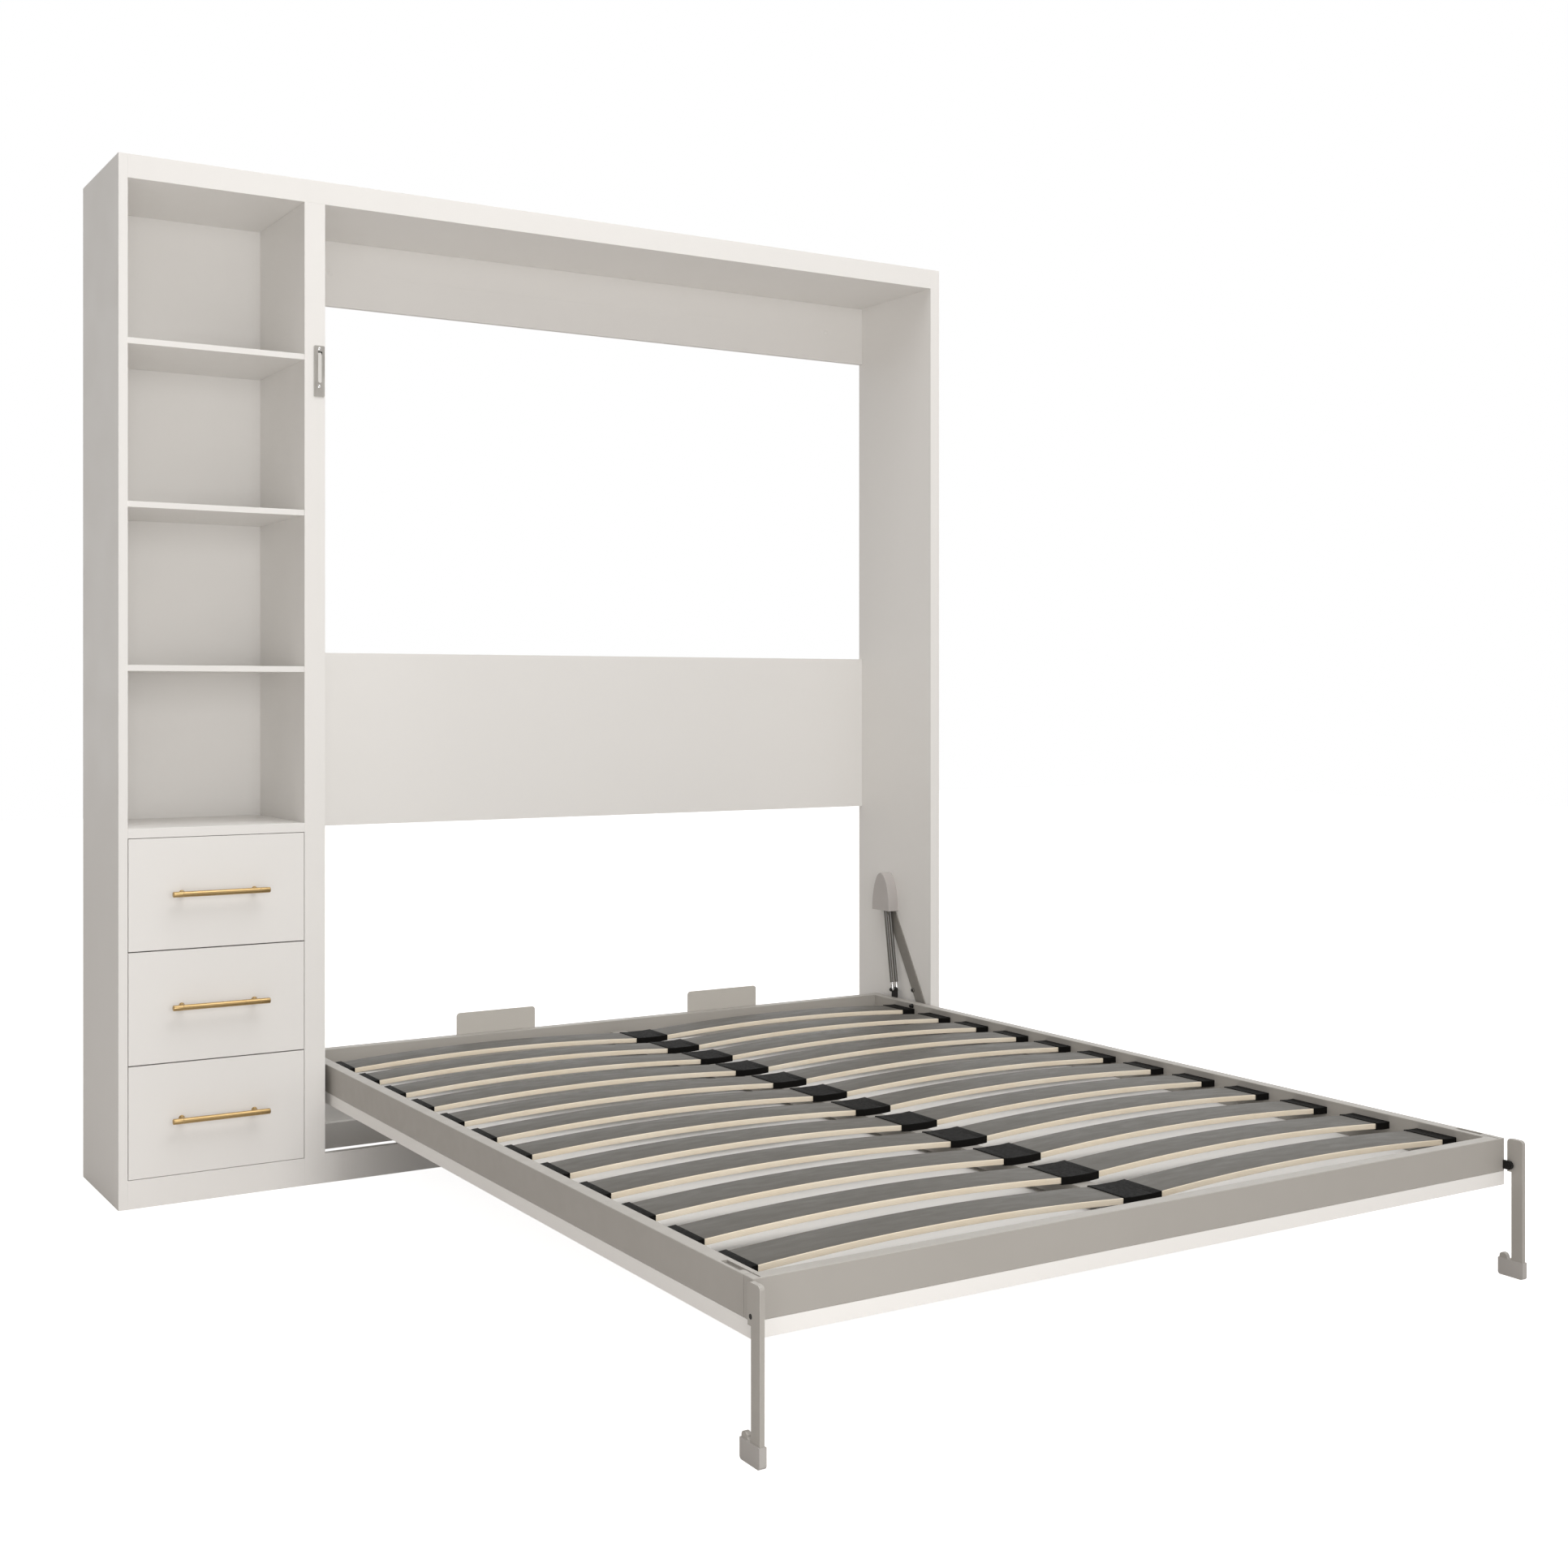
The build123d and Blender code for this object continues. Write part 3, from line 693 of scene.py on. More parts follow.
class Shape:
    """A mesh that is put together from turned, drawn and swept forms."""

    def __init__(self) -> None:
        """Start with an empty mesh."""
        self.mesh = bmesh.new()

    def ring(
        self, centre: Vector, axis: Axis, radius: float, sides: int
    ) -> list[bmesh.types.BMVert]:
        """Set out points in a circle.

        Args:
            centre: Middle of the circle.
            axis: Axis that the circle stands square to.
            radius: Radius of the circle.
            sides: Number of points.

        Returns:
            The points in order.
        """
        first, second = [(1, 2), (2, 0), (0, 1)][axis.value]
        points = []
        for step in range(sides):
            angle = math.tau * (step + 0.5) / sides
            place = centre.copy()
            place[first] += radius * math.cos(angle)
            place[second] += radius * math.sin(angle)
            points.append(self.mesh.verts.new(place))
        return points

    def turn(self, start: Point, axis: Axis, profile: Profile, sides: int = ROUND_SIDES) -> None:
        """Turn a profile round an axis, as on a lathe, and close both ends.

        Args:
            start: Point on the axis that distances count from.
            axis: Axis of the turning.
            profile: Distance along the axis and radius, in order.
            sides: Number of facets round the axis.
        """
        rings = []
        for along, radius in profile:
            centre = Vector(start)
            centre[axis.value] += along
            rings.append(self.ring(centre, axis, radius, sides))
        for low, high in zip(rings, rings[1:]):
            for step in range(sides):
                after = (step + 1) % sides
                self.mesh.faces.new((low[step], low[after], high[after], high[step]))
        self.mesh.faces.new(list(reversed(rings[0])))
        self.mesh.faces.new(rings[-1])

    def draw(self, outline: Profile, axis: Axis, low: float, high: float) -> None:
        """Draw an outline along an axis, as a bar through a die.

        Args:
            outline: The outline's points, in the two other axes in their order.
            axis: Axis that the bar runs along.
            low: Where the bar starts.
            high: Where the bar ends.
        """
        ends = []
        for along in (low, high):
            row = []
            for first, second in outline:
                place = [first, second]
                place.insert(axis.value, along)
                row.append(self.mesh.verts.new(place))
            ends.append(row)
        count = len(outline)
        for step in range(count):
            after = (step + 1) % count
            self.mesh.faces.new((ends[0][step], ends[0][after], ends[1][after], ends[1][step]))
        self.mesh.faces.new(list(reversed(ends[0])))
        self.mesh.faces.new(ends[1])

    def done(
        self, name: str, finishes: list[Finish], bevel: float = 0.0, smooth: float = 35.0
    ) -> bpy.types.Object:
        """Close the mesh and make an object of it.

        Args:
            name: Name of the piece.
            finishes: Its finishes, in the order of the faces' numbers.
            bevel: Width of the broken edges in metres.
            smooth: Edges flatter than this many degrees look smooth.

        Returns:
            The new object.
        """
        bmesh.ops.recalc_face_normals(self.mesh, faces=self.mesh.faces)
        data = bpy.data.meshes.new(name)
        self.mesh.to_mesh(data)
        self.mesh.free()
        piece = bpy.data.objects.new(name, data)
        bpy.context.scene.collection.objects.link(piece)
        for finish in finishes:
            data.materials.append(finish.material())
        data.polygons.foreach_set("use_smooth", [True] * len(data.polygons))
        data.set_sharp_from_angle(angle=math.radians(smooth))
        if bevel > 0:
            break_edges(piece, bevel)
        return piece


def break_edges(piece: bpy.types.Object, width: float) -> None:
    """Round the sharp edges of a piece a little.

    Args:
        piece: The piece.
        width: Width of the rounding in metres.
    """
    weld = piece.modifiers.new("weld", "WELD")
    weld.merge_threshold = WELD_DISTANCE
    bevel = piece.modifiers.new("edges", "BEVEL")
    bevel.width = width
    bevel.segments = 2
    bevel.limit_method = "ANGLE"
    bevel.angle_limit = math.radians(SHARP_ANGLE)


def dress(node: str, finish: Finish, bevel: float = 0.0) -> None:
    """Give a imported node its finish.

    Args:
        node: Name of the node.
        finish: Its finish.
        bevel: Width of the broken edges in metres, or 0.
    """
    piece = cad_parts[node]
    material = finish.material()
    if not piece.material_slots:
        piece.data.materials.append(material)
    for place in piece.material_slots:
        place.link = "OBJECT"
        place.material = material
    if bevel > 0:
        break_edges(piece, bevel)


def settle(piece: bpy.types.Object, body: str, slot: str, *nodes: str) -> None:
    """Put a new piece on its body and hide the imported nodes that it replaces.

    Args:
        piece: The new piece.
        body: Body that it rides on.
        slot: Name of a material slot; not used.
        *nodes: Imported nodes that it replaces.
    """
    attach(piece, body)
    if nodes:
        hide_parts(*nodes)
    LOG.info("made %s on %s", piece.name, body)


@dataclass
class Cabinet:
    """Boards of the cabinet and of the storage tower."""

    boards: tuple[str, ...] = (
        "left_side_panel",
        "right_side_panel",
        "divider_panel",
        "top_board",
        "top_fascia",
        "ceiling_board",
        "tower_shelves",
        "counter_board",
        "tower_floor",
        "tower_toe_board",
        "tower_back_panel",
        "back_panel_upper",
        "back_panel_middle",
        "back_panel_lower",
        "rear_stretcher",
        "bay_toe_board",
    )
    screw_reach: float = 120.0 * MM
    screw_drop: float = 77.0 * MM
    cover_radius: float = 6.5 * MM
    cover_rise: float = 1.4 * MM
    cover_dome: tuple[tuple[float, float], ...] = ((0.0, 1.0), (0.5, 0.96), (0.9, 0.8), (1.0, 0.5))

    def build(self) -> None:
        """Dress every board and cover the wall screws."""
        for name in self.boards:
            dress(name, BOARD)
            LOG.info("dressed %s", name)
        self.screw_covers()

    def screw_covers(self) -> None:
        """Press a white cap over each wall screw in the upper back board."""
        low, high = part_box("back_panel_upper")
        height = high.z - self.screw_drop
        rise, radius = self.cover_rise, self.cover_radius
        profile = [(-rise * along, radius * wide) for along, wide in self.cover_dome]
        shape = Shape()
        for place in (low.x + self.screw_reach, high.x - self.screw_reach):
            shape.turn((place, low.y, height), Axis.Y, profile)
        settle(shape.done("wall_screw_covers", [BOARD]), "cabinet", "board")


@dataclass
class Drawer:
    """One drawer with its bar handle and the inner half of its runners."""

    name: str
    bar_radius: float = 6.0 * MM
    post_radius: float = 4.2 * MM
    post_pitch: float = 154.0 * MM
    rosette_radius: float = 6.4 * MM
    rosette_height: float = 2.4 * MM
    groove: float = 0.5 * MM
    bar_nose: tuple[tuple[float, float], ...] = (
        (0.0, 0.55),
        (0.35 * MM, 0.8),
        (1.1 * MM, 0.95),
        (2.2 * MM, 1.0),
    )
    bar_sides: int = 40
    post_sides: int = 24

    def build(self) -> None:
        """Dress the box and build the handle."""
        dress(f"drawer_{self.name}_front", BOARD)
        dress(f"drawer_{self.name}_tray", RAW_BOARD, bevel=0.6 * MM)
        self.handle()
        LOG.info("dressed drawer %s", self.name)

    def handle(self) -> None:
        """Turn the bar with its end pieces, and the two posts."""
        node = f"drawer_{self.name}_handle"
        low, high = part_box(node)
        length = high.x - low.x
        middle = (low.x + high.x) / 2
        height = (low.z + high.z) / 2
        depth = low.y + self.bar_radius
        radius, groove = self.bar_radius, self.groove
        joint = (length - self.post_pitch) / 2 - self.post_radius
        shape = Shape()
        half = [(along, radius * wide) for along, wide in self.bar_nose]
        half += [
            (joint - groove, radius),
            (joint, radius - groove * 0.8),
            (joint + groove, radius),
        ]
        profile = half + [(length - along, wide) for along, wide in reversed(half)]
        shape.turn((low.x, depth, height), Axis.X, profile, self.bar_sides)
        foot = high.y - depth
        rosette = foot - self.rosette_height
        post = [
            (0.0, self.post_radius),
            (rosette - 2 * MM, self.post_radius),
            (rosette - 0.8 * MM, self.post_radius * 1.15),
            (rosette, self.rosette_radius * 0.9),
            (foot - 0.5 * MM, self.rosette_radius),
            (foot, self.rosette_radius),
        ]
        for side in (-1, 1):
            start = (middle + side * self.post_pitch / 2, depth, height)
            shape.turn(start, Axis.Y, post, self.post_sides)
        piece = shape.done(f"bar_handle_{self.name}", [BRASS])
        settle(piece, f"drawer_{self.name}", "brass", node)


@dataclass
class Runners:
    """Folded steel slides between the trays and the tower."""

    sheet: float = 1.2 * MM
    lip: float = 5.0 * MM
    width: float = 5.5 * MM
    rivet_radius: float = 2.6 * MM
    rivet_sides: int = 20
    rivet_places: tuple[float, ...] = (0.08, 0.5, 0.92)
    rivet_head: tuple[tuple[float, float], ...] = ((0.0, 1.0), (1.6, 0.9), (2.1, 0.5))

    def channel(self, shape: Shape, low: Vector, high: Vector, open_side: int) -> None:
        """Fold one channel and put its rivets in.

        Args:
            shape: Shape that it is added to.
            low: Lowest corner of the space it fills.
            high: Highest corner of the space it fills.
            open_side: 1 if it opens towards larger X, else -1.
        """
        back, front = (low.x, high.x) if open_side > 0 else (high.x, low.x)
        wall = self.sheet * open_side
        outline = [
            (back, low.z),
            (front, low.z),
            (front, low.z + self.lip),
            (front - wall, low.z + self.lip),
            (front - wall, low.z + self.sheet),
            (back + wall, low.z + self.sheet),
            (back + wall, high.z - self.sheet),
            (front - wall, high.z - self.sheet),
            (front - wall, high.z - self.lip),
            (front, high.z - self.lip),
            (front, high.z),
            (back, high.z),
        ]
        shape.draw(outline, Axis.Y, low.y, high.y)
        middle = (low.z + high.z) / 2
        profile = [(wall * up, self.rivet_radius * wide) for up, wide in self.rivet_head]
        for share in self.rivet_places:
            along = low.y + (high.y - low.y) * share
            shape.turn((back, along, middle), Axis.X, profile, self.rivet_sides)

    def fit(
        self,
        name: str,
        body: str,
        node: str,
        boxes: list[tuple[Vector, Vector]],
        left_opens: int,
    ) -> None:
        """Build the channels of one node.

        Args:
            name: Name of the piece.
            body: Body that it rides on.
            node: Node that it replaces.
            boxes: Space of each channel, left and right in turn.
            left_opens: Way that the left ones open, 1 towards larger X, else -1.
        """
        shape = Shape()
        for index, (low, high) in enumerate(boxes):
            self.channel(shape, low, high, left_opens if index % 2 == 0 else -left_opens)
        settle(shape.done(name, [RUNNER_ZINC], bevel=0.3 * MM), body, "runner_steel", node)

    def both(
        self, left: float, right: float, low: Vector, high: Vector
    ) -> list[tuple[Vector, Vector]]:
        """Give the space of the two channels on the left and on the right.

        Args:
            left: Leftmost X of the pair.
            right: Rightmost X of the pair.
            low: Corner with the pair's lowest Y and Z.
            high: Corner with the pair's highest Y and Z.

        Returns:
            Lowest and highest corner of each channel.
        """
        spaces = []
        for start in (left, right - self.width):
            near = Vector((start, low.y, low.z))
            far = Vector((start + self.width, high.y, high.z))
            spaces.append((near, far))
        return spaces

    def build(self, drawers: list[str]) -> None:
        """Build the inner channels on each tray and the outer ones on the tower.

        Args:
            drawers: The drawers' names.
        """
        outer = []
        tower_low, tower_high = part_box("tower_runners")
        for drawer in drawers:
            node = f"drawer_{drawer}_runners"
            low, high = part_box(node)
            inner = self.both(low.x, high.x, low, high)
            self.fit(f"slide_{drawer}", f"drawer_{drawer}", node, inner, -1)
            outer += self.both(tower_low.x, tower_high.x, low, high)
        self.fit("slide_channels", "cabinet", "tower_runners", outer, 1)


@dataclass
class Slats:
    """Two columns of bowed slats and the sleeves that hold their ends."""

    rows: int = 12
    width: float = 88.0 * MM
    thickness: float = 10.5 * MM
    corner: float = 1.1 * MM
    steps: int = 36
    corner_steps: int = 3
    foil_edges: tuple[int, ...] = (1, 3)

    def section(self) -> list[tuple[float, float, bool]]:
        """Set out the rounded section of a slat.

        Returns:
            Offset across, offset up from the middle of the thickness, and
            whether the stretch from that point to the next is foil.
        """
        half_w, half_t = self.width / 2, self.thickness / 2
        corners = [(1, -1, -90), (1, 1, 0), (-1, 1, 90), (-1, -1, 180)]
        points = []
        for index, (across, up, first) in enumerate(corners):
            for step in range(self.corner_steps + 1):
                angle = math.radians(first + 90 * step / self.corner_steps)
                y = across * (half_w - self.corner) + self.corner * math.cos(angle)
                z = up * (half_t - self.corner) + self.corner * math.sin(angle)
                last = step == self.corner_steps
                points.append((y, z, last and index in self.foil_edges))
        return points

    def slat(self, name: str, low: Vector, high: Vector, middle: float, node: str) -> None:
        """Sweep one slat along its bow.

        Args:
            name: Name of the piece.
            low: Lowest corner of its column.
            high: Highest corner of its column.
            middle: Where its centre line lies in Y.
            node: Node that it replaces.
        """
        shape = Shape()
        mesh = shape.mesh
        layer = mesh.verts.layers.float.new("ply")
        section = self.section()
        span = high.x - low.x
        rise = high.z - low.z - self.thickness
        radius = (span * span / 4 + rise * rise) / (2 * rise)
        rings = []
        for step in range(self.steps + 1):
            x = low.x + span * step / self.steps
            offset = x - (low.x + high.x) / 2
            bow = math.sqrt(radius * radius - offset * offset) - (radius - rise)
            centre = low.z + self.thickness / 2 + bow
            ring = []
            for across, up, _ in section:
                vert = mesh.verts.new((x, middle + across, centre + up))
                vert[layer] = 0.5 + up / self.thickness
                ring.append(vert)
            rings.append(ring)
        count = len(section)
        for first, second in zip(rings, rings[1:]):
            for step in range(count):
                after = (step + 1) % count
                face = mesh.faces.new((first[step], first[after], second[after], second[step]))
                face.material_index = 0 if section[step][2] else 1
        for ring in (list(reversed(rings[0])), rings[-1]):
            mesh.faces.new(ring).material_index = 1
        piece = shape.done(name, [SLAT_FOIL, SLAT_EDGE], smooth=50)
        settle(piece, "bed", "slat", node)

    def build(self) -> None:
        """Build both columns and dress the sleeves."""
        for side in ("left", "right"):
            node = f"slats_{side}"
            low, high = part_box(node)
            pitch = (high.y - low.y - self.width) / (self.rows - 1)
            for row in range(self.rows):
                middle = high.y - self.width / 2 - pitch * row
                self.slat(f"slat_{side}_{row + 1:02d}", low, high, middle, node)
        dress("slat_end_caps", CAP_PLASTIC, bevel=0.8 * MM)
        dress("slat_centre_caps", CAP_PLASTIC, bevel=0.8 * MM)


@dataclass
class BedFrame:
    """Steel frame, door panel and mattress stops."""

    recess_edge: float = 4.5 * MM
    recess_width: float = 11.0 * MM
    recess_start: float = 44.0 * MM
    recess_length: float = 54.0 * MM
    recess_depth: float = 4.0 * MM
    groove_width: float = 4.0 * MM
    groove_start: float = 2.0 * MM
    groove_depth: float = 1.2 * MM
    # thickness of the grey sheets that paint shade in the rail's recess and groove
    shade_sheet_thickness: float = 0.15 * MM
    knob: tuple[tuple[float, float], ...] = (
        (0.0, 1.0),
        (1.2 * MM, 1.0),
        (1.6 * MM, 0.72),
        (3.4 * MM, 0.66),
        (4.2 * MM, 0.78),
        (7.2 * MM, 0.77),
        (8.4 * MM, 0.62),
        (9.0 * MM, 0.3),
    )

    def build(self) -> None:
        """Dress the frame and turn the two knobs."""
        for name in ("side_rail_left", "side_rail_right", "head_rail", "foot_rail", "centre_beam"):
            dress(name, FRAME_PAINT)
        dress("door_panel", BOARD)
        dress("mattress_stops", STOP_PAINT, bevel=0.5 * MM)
        dress("pivot_bushes", BLACK_STEEL)
        dress("rail_lugs", BLACK_STEEL, bevel=0.4 * MM)
        self.knobs()
        self.lay_recess_shade()
        LOG.info("dressed the bed frame")

    def lay_recess_shade(self) -> None:
        """Lay thin darker grey sheets on the floors of the recess and the groove on top of each
        side rail; their darkness is painted shade in those hollows.
        """
        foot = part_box("foot_rail")[0].y
        for side, way in (("left", 1), ("right", -1)):
            low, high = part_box(f"side_rail_{side}")
            edge = low.x if way == 1 else high.x
            outer = edge + way * self.recess_edge
            inner = outer + way * self.recess_width
            beside = inner - way * self.groove_width
            start = foot + self.recess_start
            strips = (
                (outer, inner, start, start + self.recess_length, self.recess_depth),
                (beside, inner, foot + self.groove_start, start, self.groove_depth),
            )
            shape = Shape()
            for first, second, near, far, depth in strips:
                left, right = sorted((first, second))
                outline = [(left, near), (right, near), (right, far), (left, far)]
                base = high.z - depth
                shape.draw(outline, Axis.Z, base, base + self.shade_sheet_thickness)
            # the darker grey of these sheets is painted shade in the recess and the groove
            settle(shape.done(f"rail_recess_shade_{side}", [STRAP_PAINT]), "bed", "frame_steel")

    def knobs(self) -> None:
        """Turn the black knobs on the inner faces of the side rails."""
        low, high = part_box("rail_bolts")
        radius = (high.z - low.z) / 2
        height = (low.z + high.z) / 2
        depth = (low.y + high.y) / 2
        shape = Shape()
        for start, way in ((low.x, 1), (high.x, -1)):
            profile = [(way * along, radius * wide) for along, wide in self.knob]
            shape.turn((start, depth, height), Axis.X, profile)
        settle(shape.done("rail_knobs", [BLACK_STEEL]), "bed", "black_steel", "rail_bolts")


@dataclass
class FoldingLeg:
    """A flat leg, its plastic shoe and the ear that it turns on."""

    side: str

    def build(self) -> None:
        """Dress the leg."""
        dress(f"leg_{self.side}", FRAME_PAINT, bevel=0.8 * MM)
        dress(f"leg_shoe_{self.side}", SHOE_PLASTIC, bevel=1.2 * MM)
        dress(f"leg_ear_{self.side}", BLACK_STEEL, bevel=0.4 * MM)
        LOG.info("dressed leg %s", self.side)


@dataclass
class Lift:
    """Strap, cover and gas springs on one wall of the bay."""

    side: str
    eye_radius: float = 5.0 * MM
    nut_radius: float = 5.2 * MM
    nut_height: float = 3.6 * MM
    strap_thickness: float = 3.0 * MM
    washer_height: float = 0.8 * MM
    bolt_radius: float = 6.0 * MM
    bolt_place: tuple[float, float] = (54.4 * MM, 75.0 * MM)

    def build(self) -> None:
        """Dress the lift, and add the nuts at the rods' ends and the bolt."""
        dress(f"lift_strap_{self.side}", STRAP_PAINT, bevel=0.4 * MM)
        dress(f"lift_cover_{self.side}", COVER_PLASTIC)
        dress(f"spring_tubes_{self.side}", TUBE_PAINT)
        dress(f"spring_rods_{self.side}", CHROME)
        self.nuts()
        self.bolt()
        LOG.info("dressed lift %s", self.side)

    def fastener(self, start: Point, way: int, radius: float, flat: float, rim: float) -> Shape:
        """Cut a washer with a hexagon on it.

        Args:
            start: Middle of the face that the washer lies on.
            way: 1 if the hexagon is towards larger X, else -1.
            radius: Radius of the washer.
            flat: Radius of the hexagon as a share of the washer's.
            rim: Radius of the hexagon's end face as a share of the washer's.

        Returns:
            The shape.
        """
        washer_top = way * self.washer_height
        crown = way * (self.nut_height + 0.4 * MM)
        shape = Shape()
        shape.turn(start, Axis.X, [(0.0, radius), (washer_top, radius)])
        hexagon = [
            (washer_top, radius * flat),
            (way * self.nut_height, radius * flat),
            (crown, radius * rim),
        ]
        shape.turn(start, Axis.X, hexagon, 6)
        return shape

    def bolt(self) -> None:
        """Cut the black bolt at the strap's lower front edge."""
        low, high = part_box(f"lift_strap_{self.side}")
        depth = low.y + self.bolt_place[0]
        height = low.z + self.bolt_place[1]
        if self.side == "left":
            seat, way = low.x + self.strap_thickness, 1
        else:
            seat, way = high.x - self.strap_thickness, -1
        shape = self.fastener((seat, depth, height), way, self.bolt_radius, 0.84, 0.7)
        piece = shape.done(f"strap_bolt_{self.side}", [BLACK_STEEL], smooth=25)
        settle(piece, "cabinet", "black_steel")

    def nuts(self) -> None:
        """Cut the washer and the nut for the inner end of the rods' pin."""
        low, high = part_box(f"spring_rods_{self.side}")
        depth = low.y + self.eye_radius
        height = low.z + self.eye_radius
        seat, way = (high.x, 1) if self.side == "left" else (low.x, -1)
        shape = self.fastener((seat, depth, height), way, self.nut_radius, 0.86, 0.74)
        piece = shape.done(f"rod_nut_{self.side}", [BLACK_STEEL], smooth=25)
        settle(piece, f"rods_{self.side}", "black_steel")


@dataclass
class DoorLock:
    """Lock plate on the divider with its lever, screws and a black sheet that paints the shade of
    the slot beside the lever.
    """

    slot_width: float = 2.4 * MM
    slot_rise: float = 0.08 * MM
    slot_beside: float = 2.2 * MM
    slot_inside: float = 0.6 * MM
    slot_above: float = 3.2 * MM
    slot_drop: float = 4.0 * MM
    screw_dish: tuple[tuple[float, float], ...] = (
        (0.0, 1.0),
        (0.5, 0.94),
        (0.9, 0.7),
        (1.0, 0.42),
        (0.55, 0.2),
    )

    def build(self) -> None:
        """Dress the lock and add the painted shade of its slot and its screw heads."""
        dress("lock_plate", LOCK_STEEL, bevel=0.4 * MM)
        dress("lock_lever", LEVER_STEEL, bevel=0.5 * MM)
        self.slot()
        self.screws()
        LOG.info("dressed the lock")

    def slot(self) -> None:
        """Lay a thin black sheet in the shape of the slot beside the lever; the slot is real, its
        darkness is painted shade.
        """
        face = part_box("lock_plate")[0].y
        lever_low, lever_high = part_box("lock_lever")
        right = lever_high.x + self.slot_beside
        left = lever_low.x + self.slot_inside
        top = lever_high.z + self.slot_above
        low = lever_high.z - self.slot_drop
        width = self.slot_width
        outline = [
            (right - width, low),
            (right, low),
            (right, top),
            (left, top),
            (left, top - width),
            (right - width, top - width),
        ]
        shape = Shape()
        shape.draw(outline, Axis.Y, face - self.slot_rise, face + self.slot_rise)
        # black sheet flush with the plate face: painted shade of the slot's hollow, no hollow is
        # cut
        settle(shape.done("lock_slot_shade", [BLACK_STEEL]), "cabinet", "black_steel")

    def screws(self) -> None:
        """Turn the two screw heads, each with a dished recess."""
        low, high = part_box("lock_screws")
        radius = (high.x - low.x) / 2
        middle = (low.x + high.x) / 2
        rise = high.y - low.y
        profile = [(-rise * along, radius * wide) for along, wide in self.screw_dish]
        shape = Shape()
        for height in (low.z + radius, high.z - radius):
            shape.turn((middle, high.y, height), Axis.Y, profile)
        settle(shape.done("lock_screw_heads", [CHROME]), "cabinet", "chrome", "lock_screws")


@dataclass(frozen=True)
class Lamp:
    """A large square soft light.

    Attributes:
        name: Name of the light.
        place: Where it hangs.
        target: Point that it faces.
        size: Length of its sides in metres.
        power: Power in watts.
    """

    name: str
    place: Point
    target: Point
    size: float
    power: float

    def hang(self) -> None:
        """Hang the light and turn it to its target."""
        data = bpy.data.lights.new(self.name, "AREA")
        data.size = self.size
        data.energy = self.power
        lamp = bpy.data.objects.new(self.name, data)
        lamp.location = self.place
        way = Vector(self.target) - Vector(self.place)
        lamp.rotation_euler = way.to_track_quat("-Z", "Y").to_euler()
        bpy.context.scene.collection.objects.link(lamp)


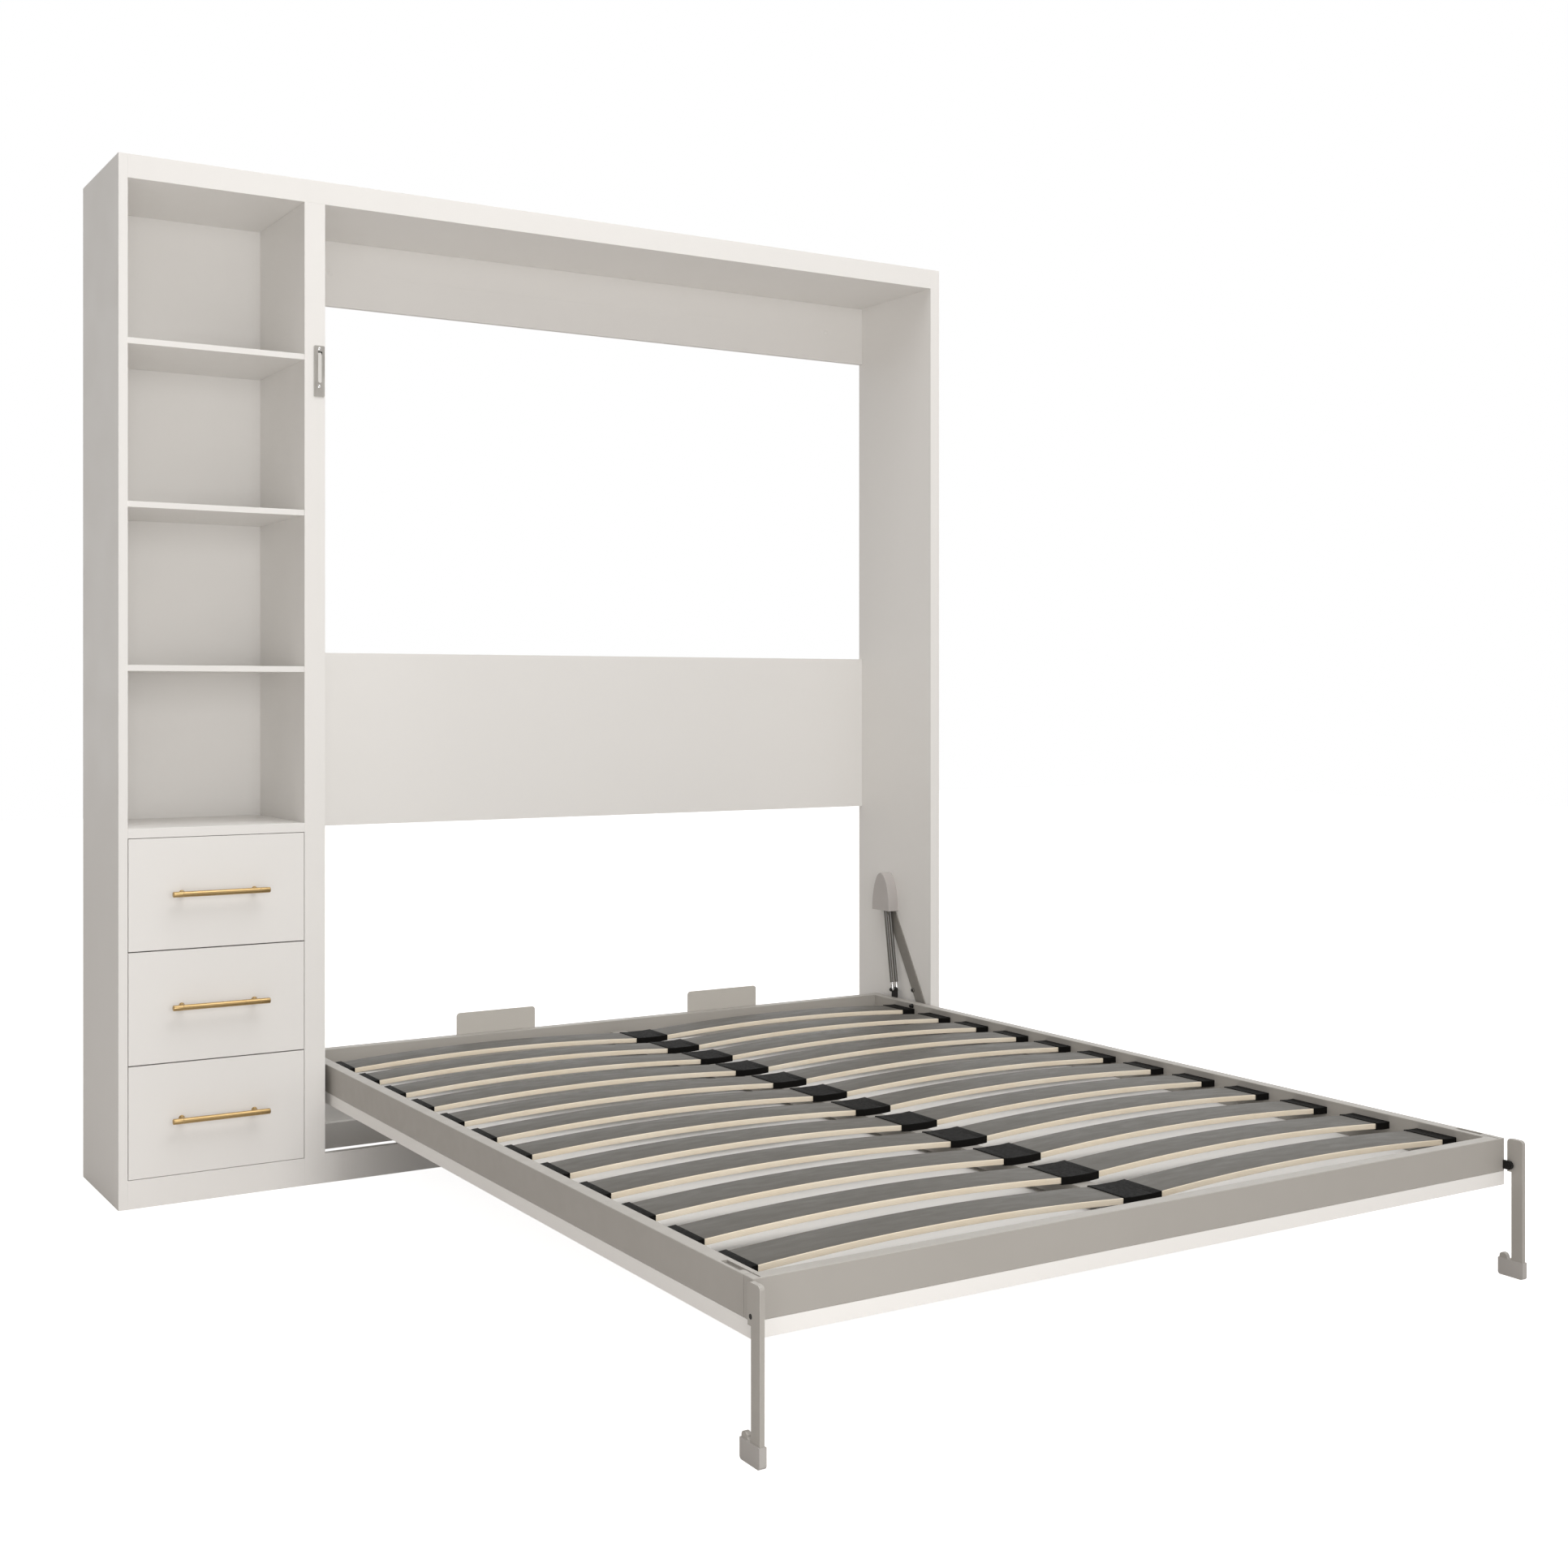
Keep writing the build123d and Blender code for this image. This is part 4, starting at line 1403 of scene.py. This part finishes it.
@dataclass
class Studio:
    """Camera, pale floor, soft lights and surroundings."""

    camera_place: Point = (-1.98345, -3.3537, 1.0711)
    camera_turn: float = -31.881
    lens: float = 43.97
    shift: tuple[float, float] = (0.0, -0.0564)
    sensor: float = 36.0
    lamps: tuple[Lamp, ...] = (
        Lamp("key_light", (0.2, -1.6, 5.4), (0.0, -0.4, 0.5), 4.0, 132.0),
        Lamp("front_softbox", (-1.4, -4.8, 1.4), (0.3, 0.5, 1.1), 2.6, 76.0),
        Lamp("left_fill", (-2.4, -2.2, 0.7), (-0.5, -0.4, 0.3), 1.4, 5.0),
    )
    floor_half: float = 14.0
    floor_colour: Colour = (0.62, 0.595, 0.575, 1.0)
    floor_glow: float = 0.9
    light_slope: Point = (0.32, 0.3, 0.08)
    light_range: tuple[float, float] = (0.1, 1.06)
    light_span: tuple[float, float] = (-0.5, 0.5)
    warm_span: tuple[float, float] = (-0.35, 0.2)
    warm: Colour = (1.0, 0.93, 0.86, 1.0)
    cool: Colour = (1.0, 1.0, 0.99, 1.0)
    white: Colour = (1.0, 1.0, 1.0, 1.0)

    def build(self) -> None:
        """Set up everything that isn't part of the bed."""
        self.camera()
        self.floor()
        self.surroundings()
        for lamp in self.lamps:
            lamp.hang()
        bpy.context.scene.view_settings.view_transform = "Standard"

    def camera(self) -> None:
        """Stand the camera at the front left, level, a metre above the floor."""
        data = bpy.data.cameras.new("camera")
        data.lens = self.lens
        data.sensor_width = self.sensor
        data.shift_x, data.shift_y = self.shift
        camera = bpy.data.objects.new("camera", data)
        camera.location = self.camera_place
        camera.rotation_euler = (math.radians(90), 0.0, math.radians(self.camera_turn))
        bpy.context.scene.collection.objects.link(camera)
        bpy.context.scene.camera = camera

    def floor(self) -> None:
        """Lay a plain pale floor."""
        mesh = bmesh.new()
        bmesh.ops.create_grid(mesh, x_segments=8, y_segments=8, size=self.floor_half)
        data = bpy.data.meshes.new("studio_floor")
        mesh.to_mesh(data)
        mesh.free()
        floor = bpy.data.objects.new("studio_floor", data)
        bpy.context.scene.collection.objects.link(floor)
        paper = bpy.data.materials.new("studio_paper")
        paper.use_nodes = True
        surface = paper.node_tree.nodes["Principled BSDF"]
        surface.inputs["Base Color"].default_value = self.floor_colour
        surface.inputs["Roughness"].default_value = 0.9
        surface.inputs["Specular IOR Level"].default_value = 0.1
        surface.inputs["Emission Color"].default_value = self.white
        tree = Tree(paper.node_tree)
        seen = tree.add("ShaderNodeLightPath").outputs["Is Camera Ray"]
        glow = tree.math("MULTIPLY", seen, self.floor_glow)
        tree.feed(surface.inputs["Emission Strength"], glow)
        data.materials.append(paper)

    def surroundings(self) -> None:
        """Surround the bed with soft light that is weaker from the left."""
        world = bpy.data.worlds.new("surroundings")
        world.use_nodes = True
        world.node_tree.nodes.clear()
        tree = Tree(world.node_tree)
        way = tree.add("ShaderNodeTexCoord").outputs["Generated"]
        slope = tree.add("ShaderNodeVectorMath", operation="DOT_PRODUCT")
        tree.feed(slope.inputs[0], way)
        slope.inputs[1].default_value = self.light_slope
        strength = tree.spread(slope.outputs["Value"], *self.light_range, self.light_span)
        warmth = tree.spread(slope.outputs["Value"], 0.0, 1.0, self.warm_span)
        light = tree.add("ShaderNodeBackground")
        tree.feed(light.inputs["Color"], tree.blend(warmth, self.warm, self.cool))
        tree.feed(light.inputs["Strength"], strength)
        backdrop = tree.add("ShaderNodeBackground")
        backdrop.inputs["Color"].default_value = self.white
        mix = tree.add("ShaderNodeMixShader")
        tree.feed(mix.inputs[0], tree.add("ShaderNodeLightPath").outputs["Is Camera Ray"])
        tree.feed(mix.inputs[1], light.outputs["Background"])
        tree.feed(mix.inputs[2], backdrop.outputs["Background"])
        end = tree.add("ShaderNodeOutputWorld")
        tree.feed(end.inputs["Surface"], mix.outputs["Shader"])
        bpy.context.scene.world = world


def corners(box: tuple[Vector, Vector]) -> list[list[float]]:
    """List a box's two corners as plain numbers.

    Args:
        box: Lowest and highest corner.

    Returns:
        The same corners as lists.
    """
    return [[float(value) for value in corner] for corner in box]


def main() -> None:
    """Build and dress every sub-assembly."""
    logging.basicConfig(level=logging.INFO, format="%(name)s %(message)s")
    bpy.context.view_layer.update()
    Studio().build()
    Cabinet().build()
    names = ["top", "middle", "bottom"]
    for name in names:
        Drawer(name).build()
    Runners().build(names)
    Slats().build()
    BedFrame().build()
    for side in ("left", "right"):
        FoldingLeg(side).build()
        Lift(side).build()
    DoorLock().build()


if __name__ == "__main__":
    main()
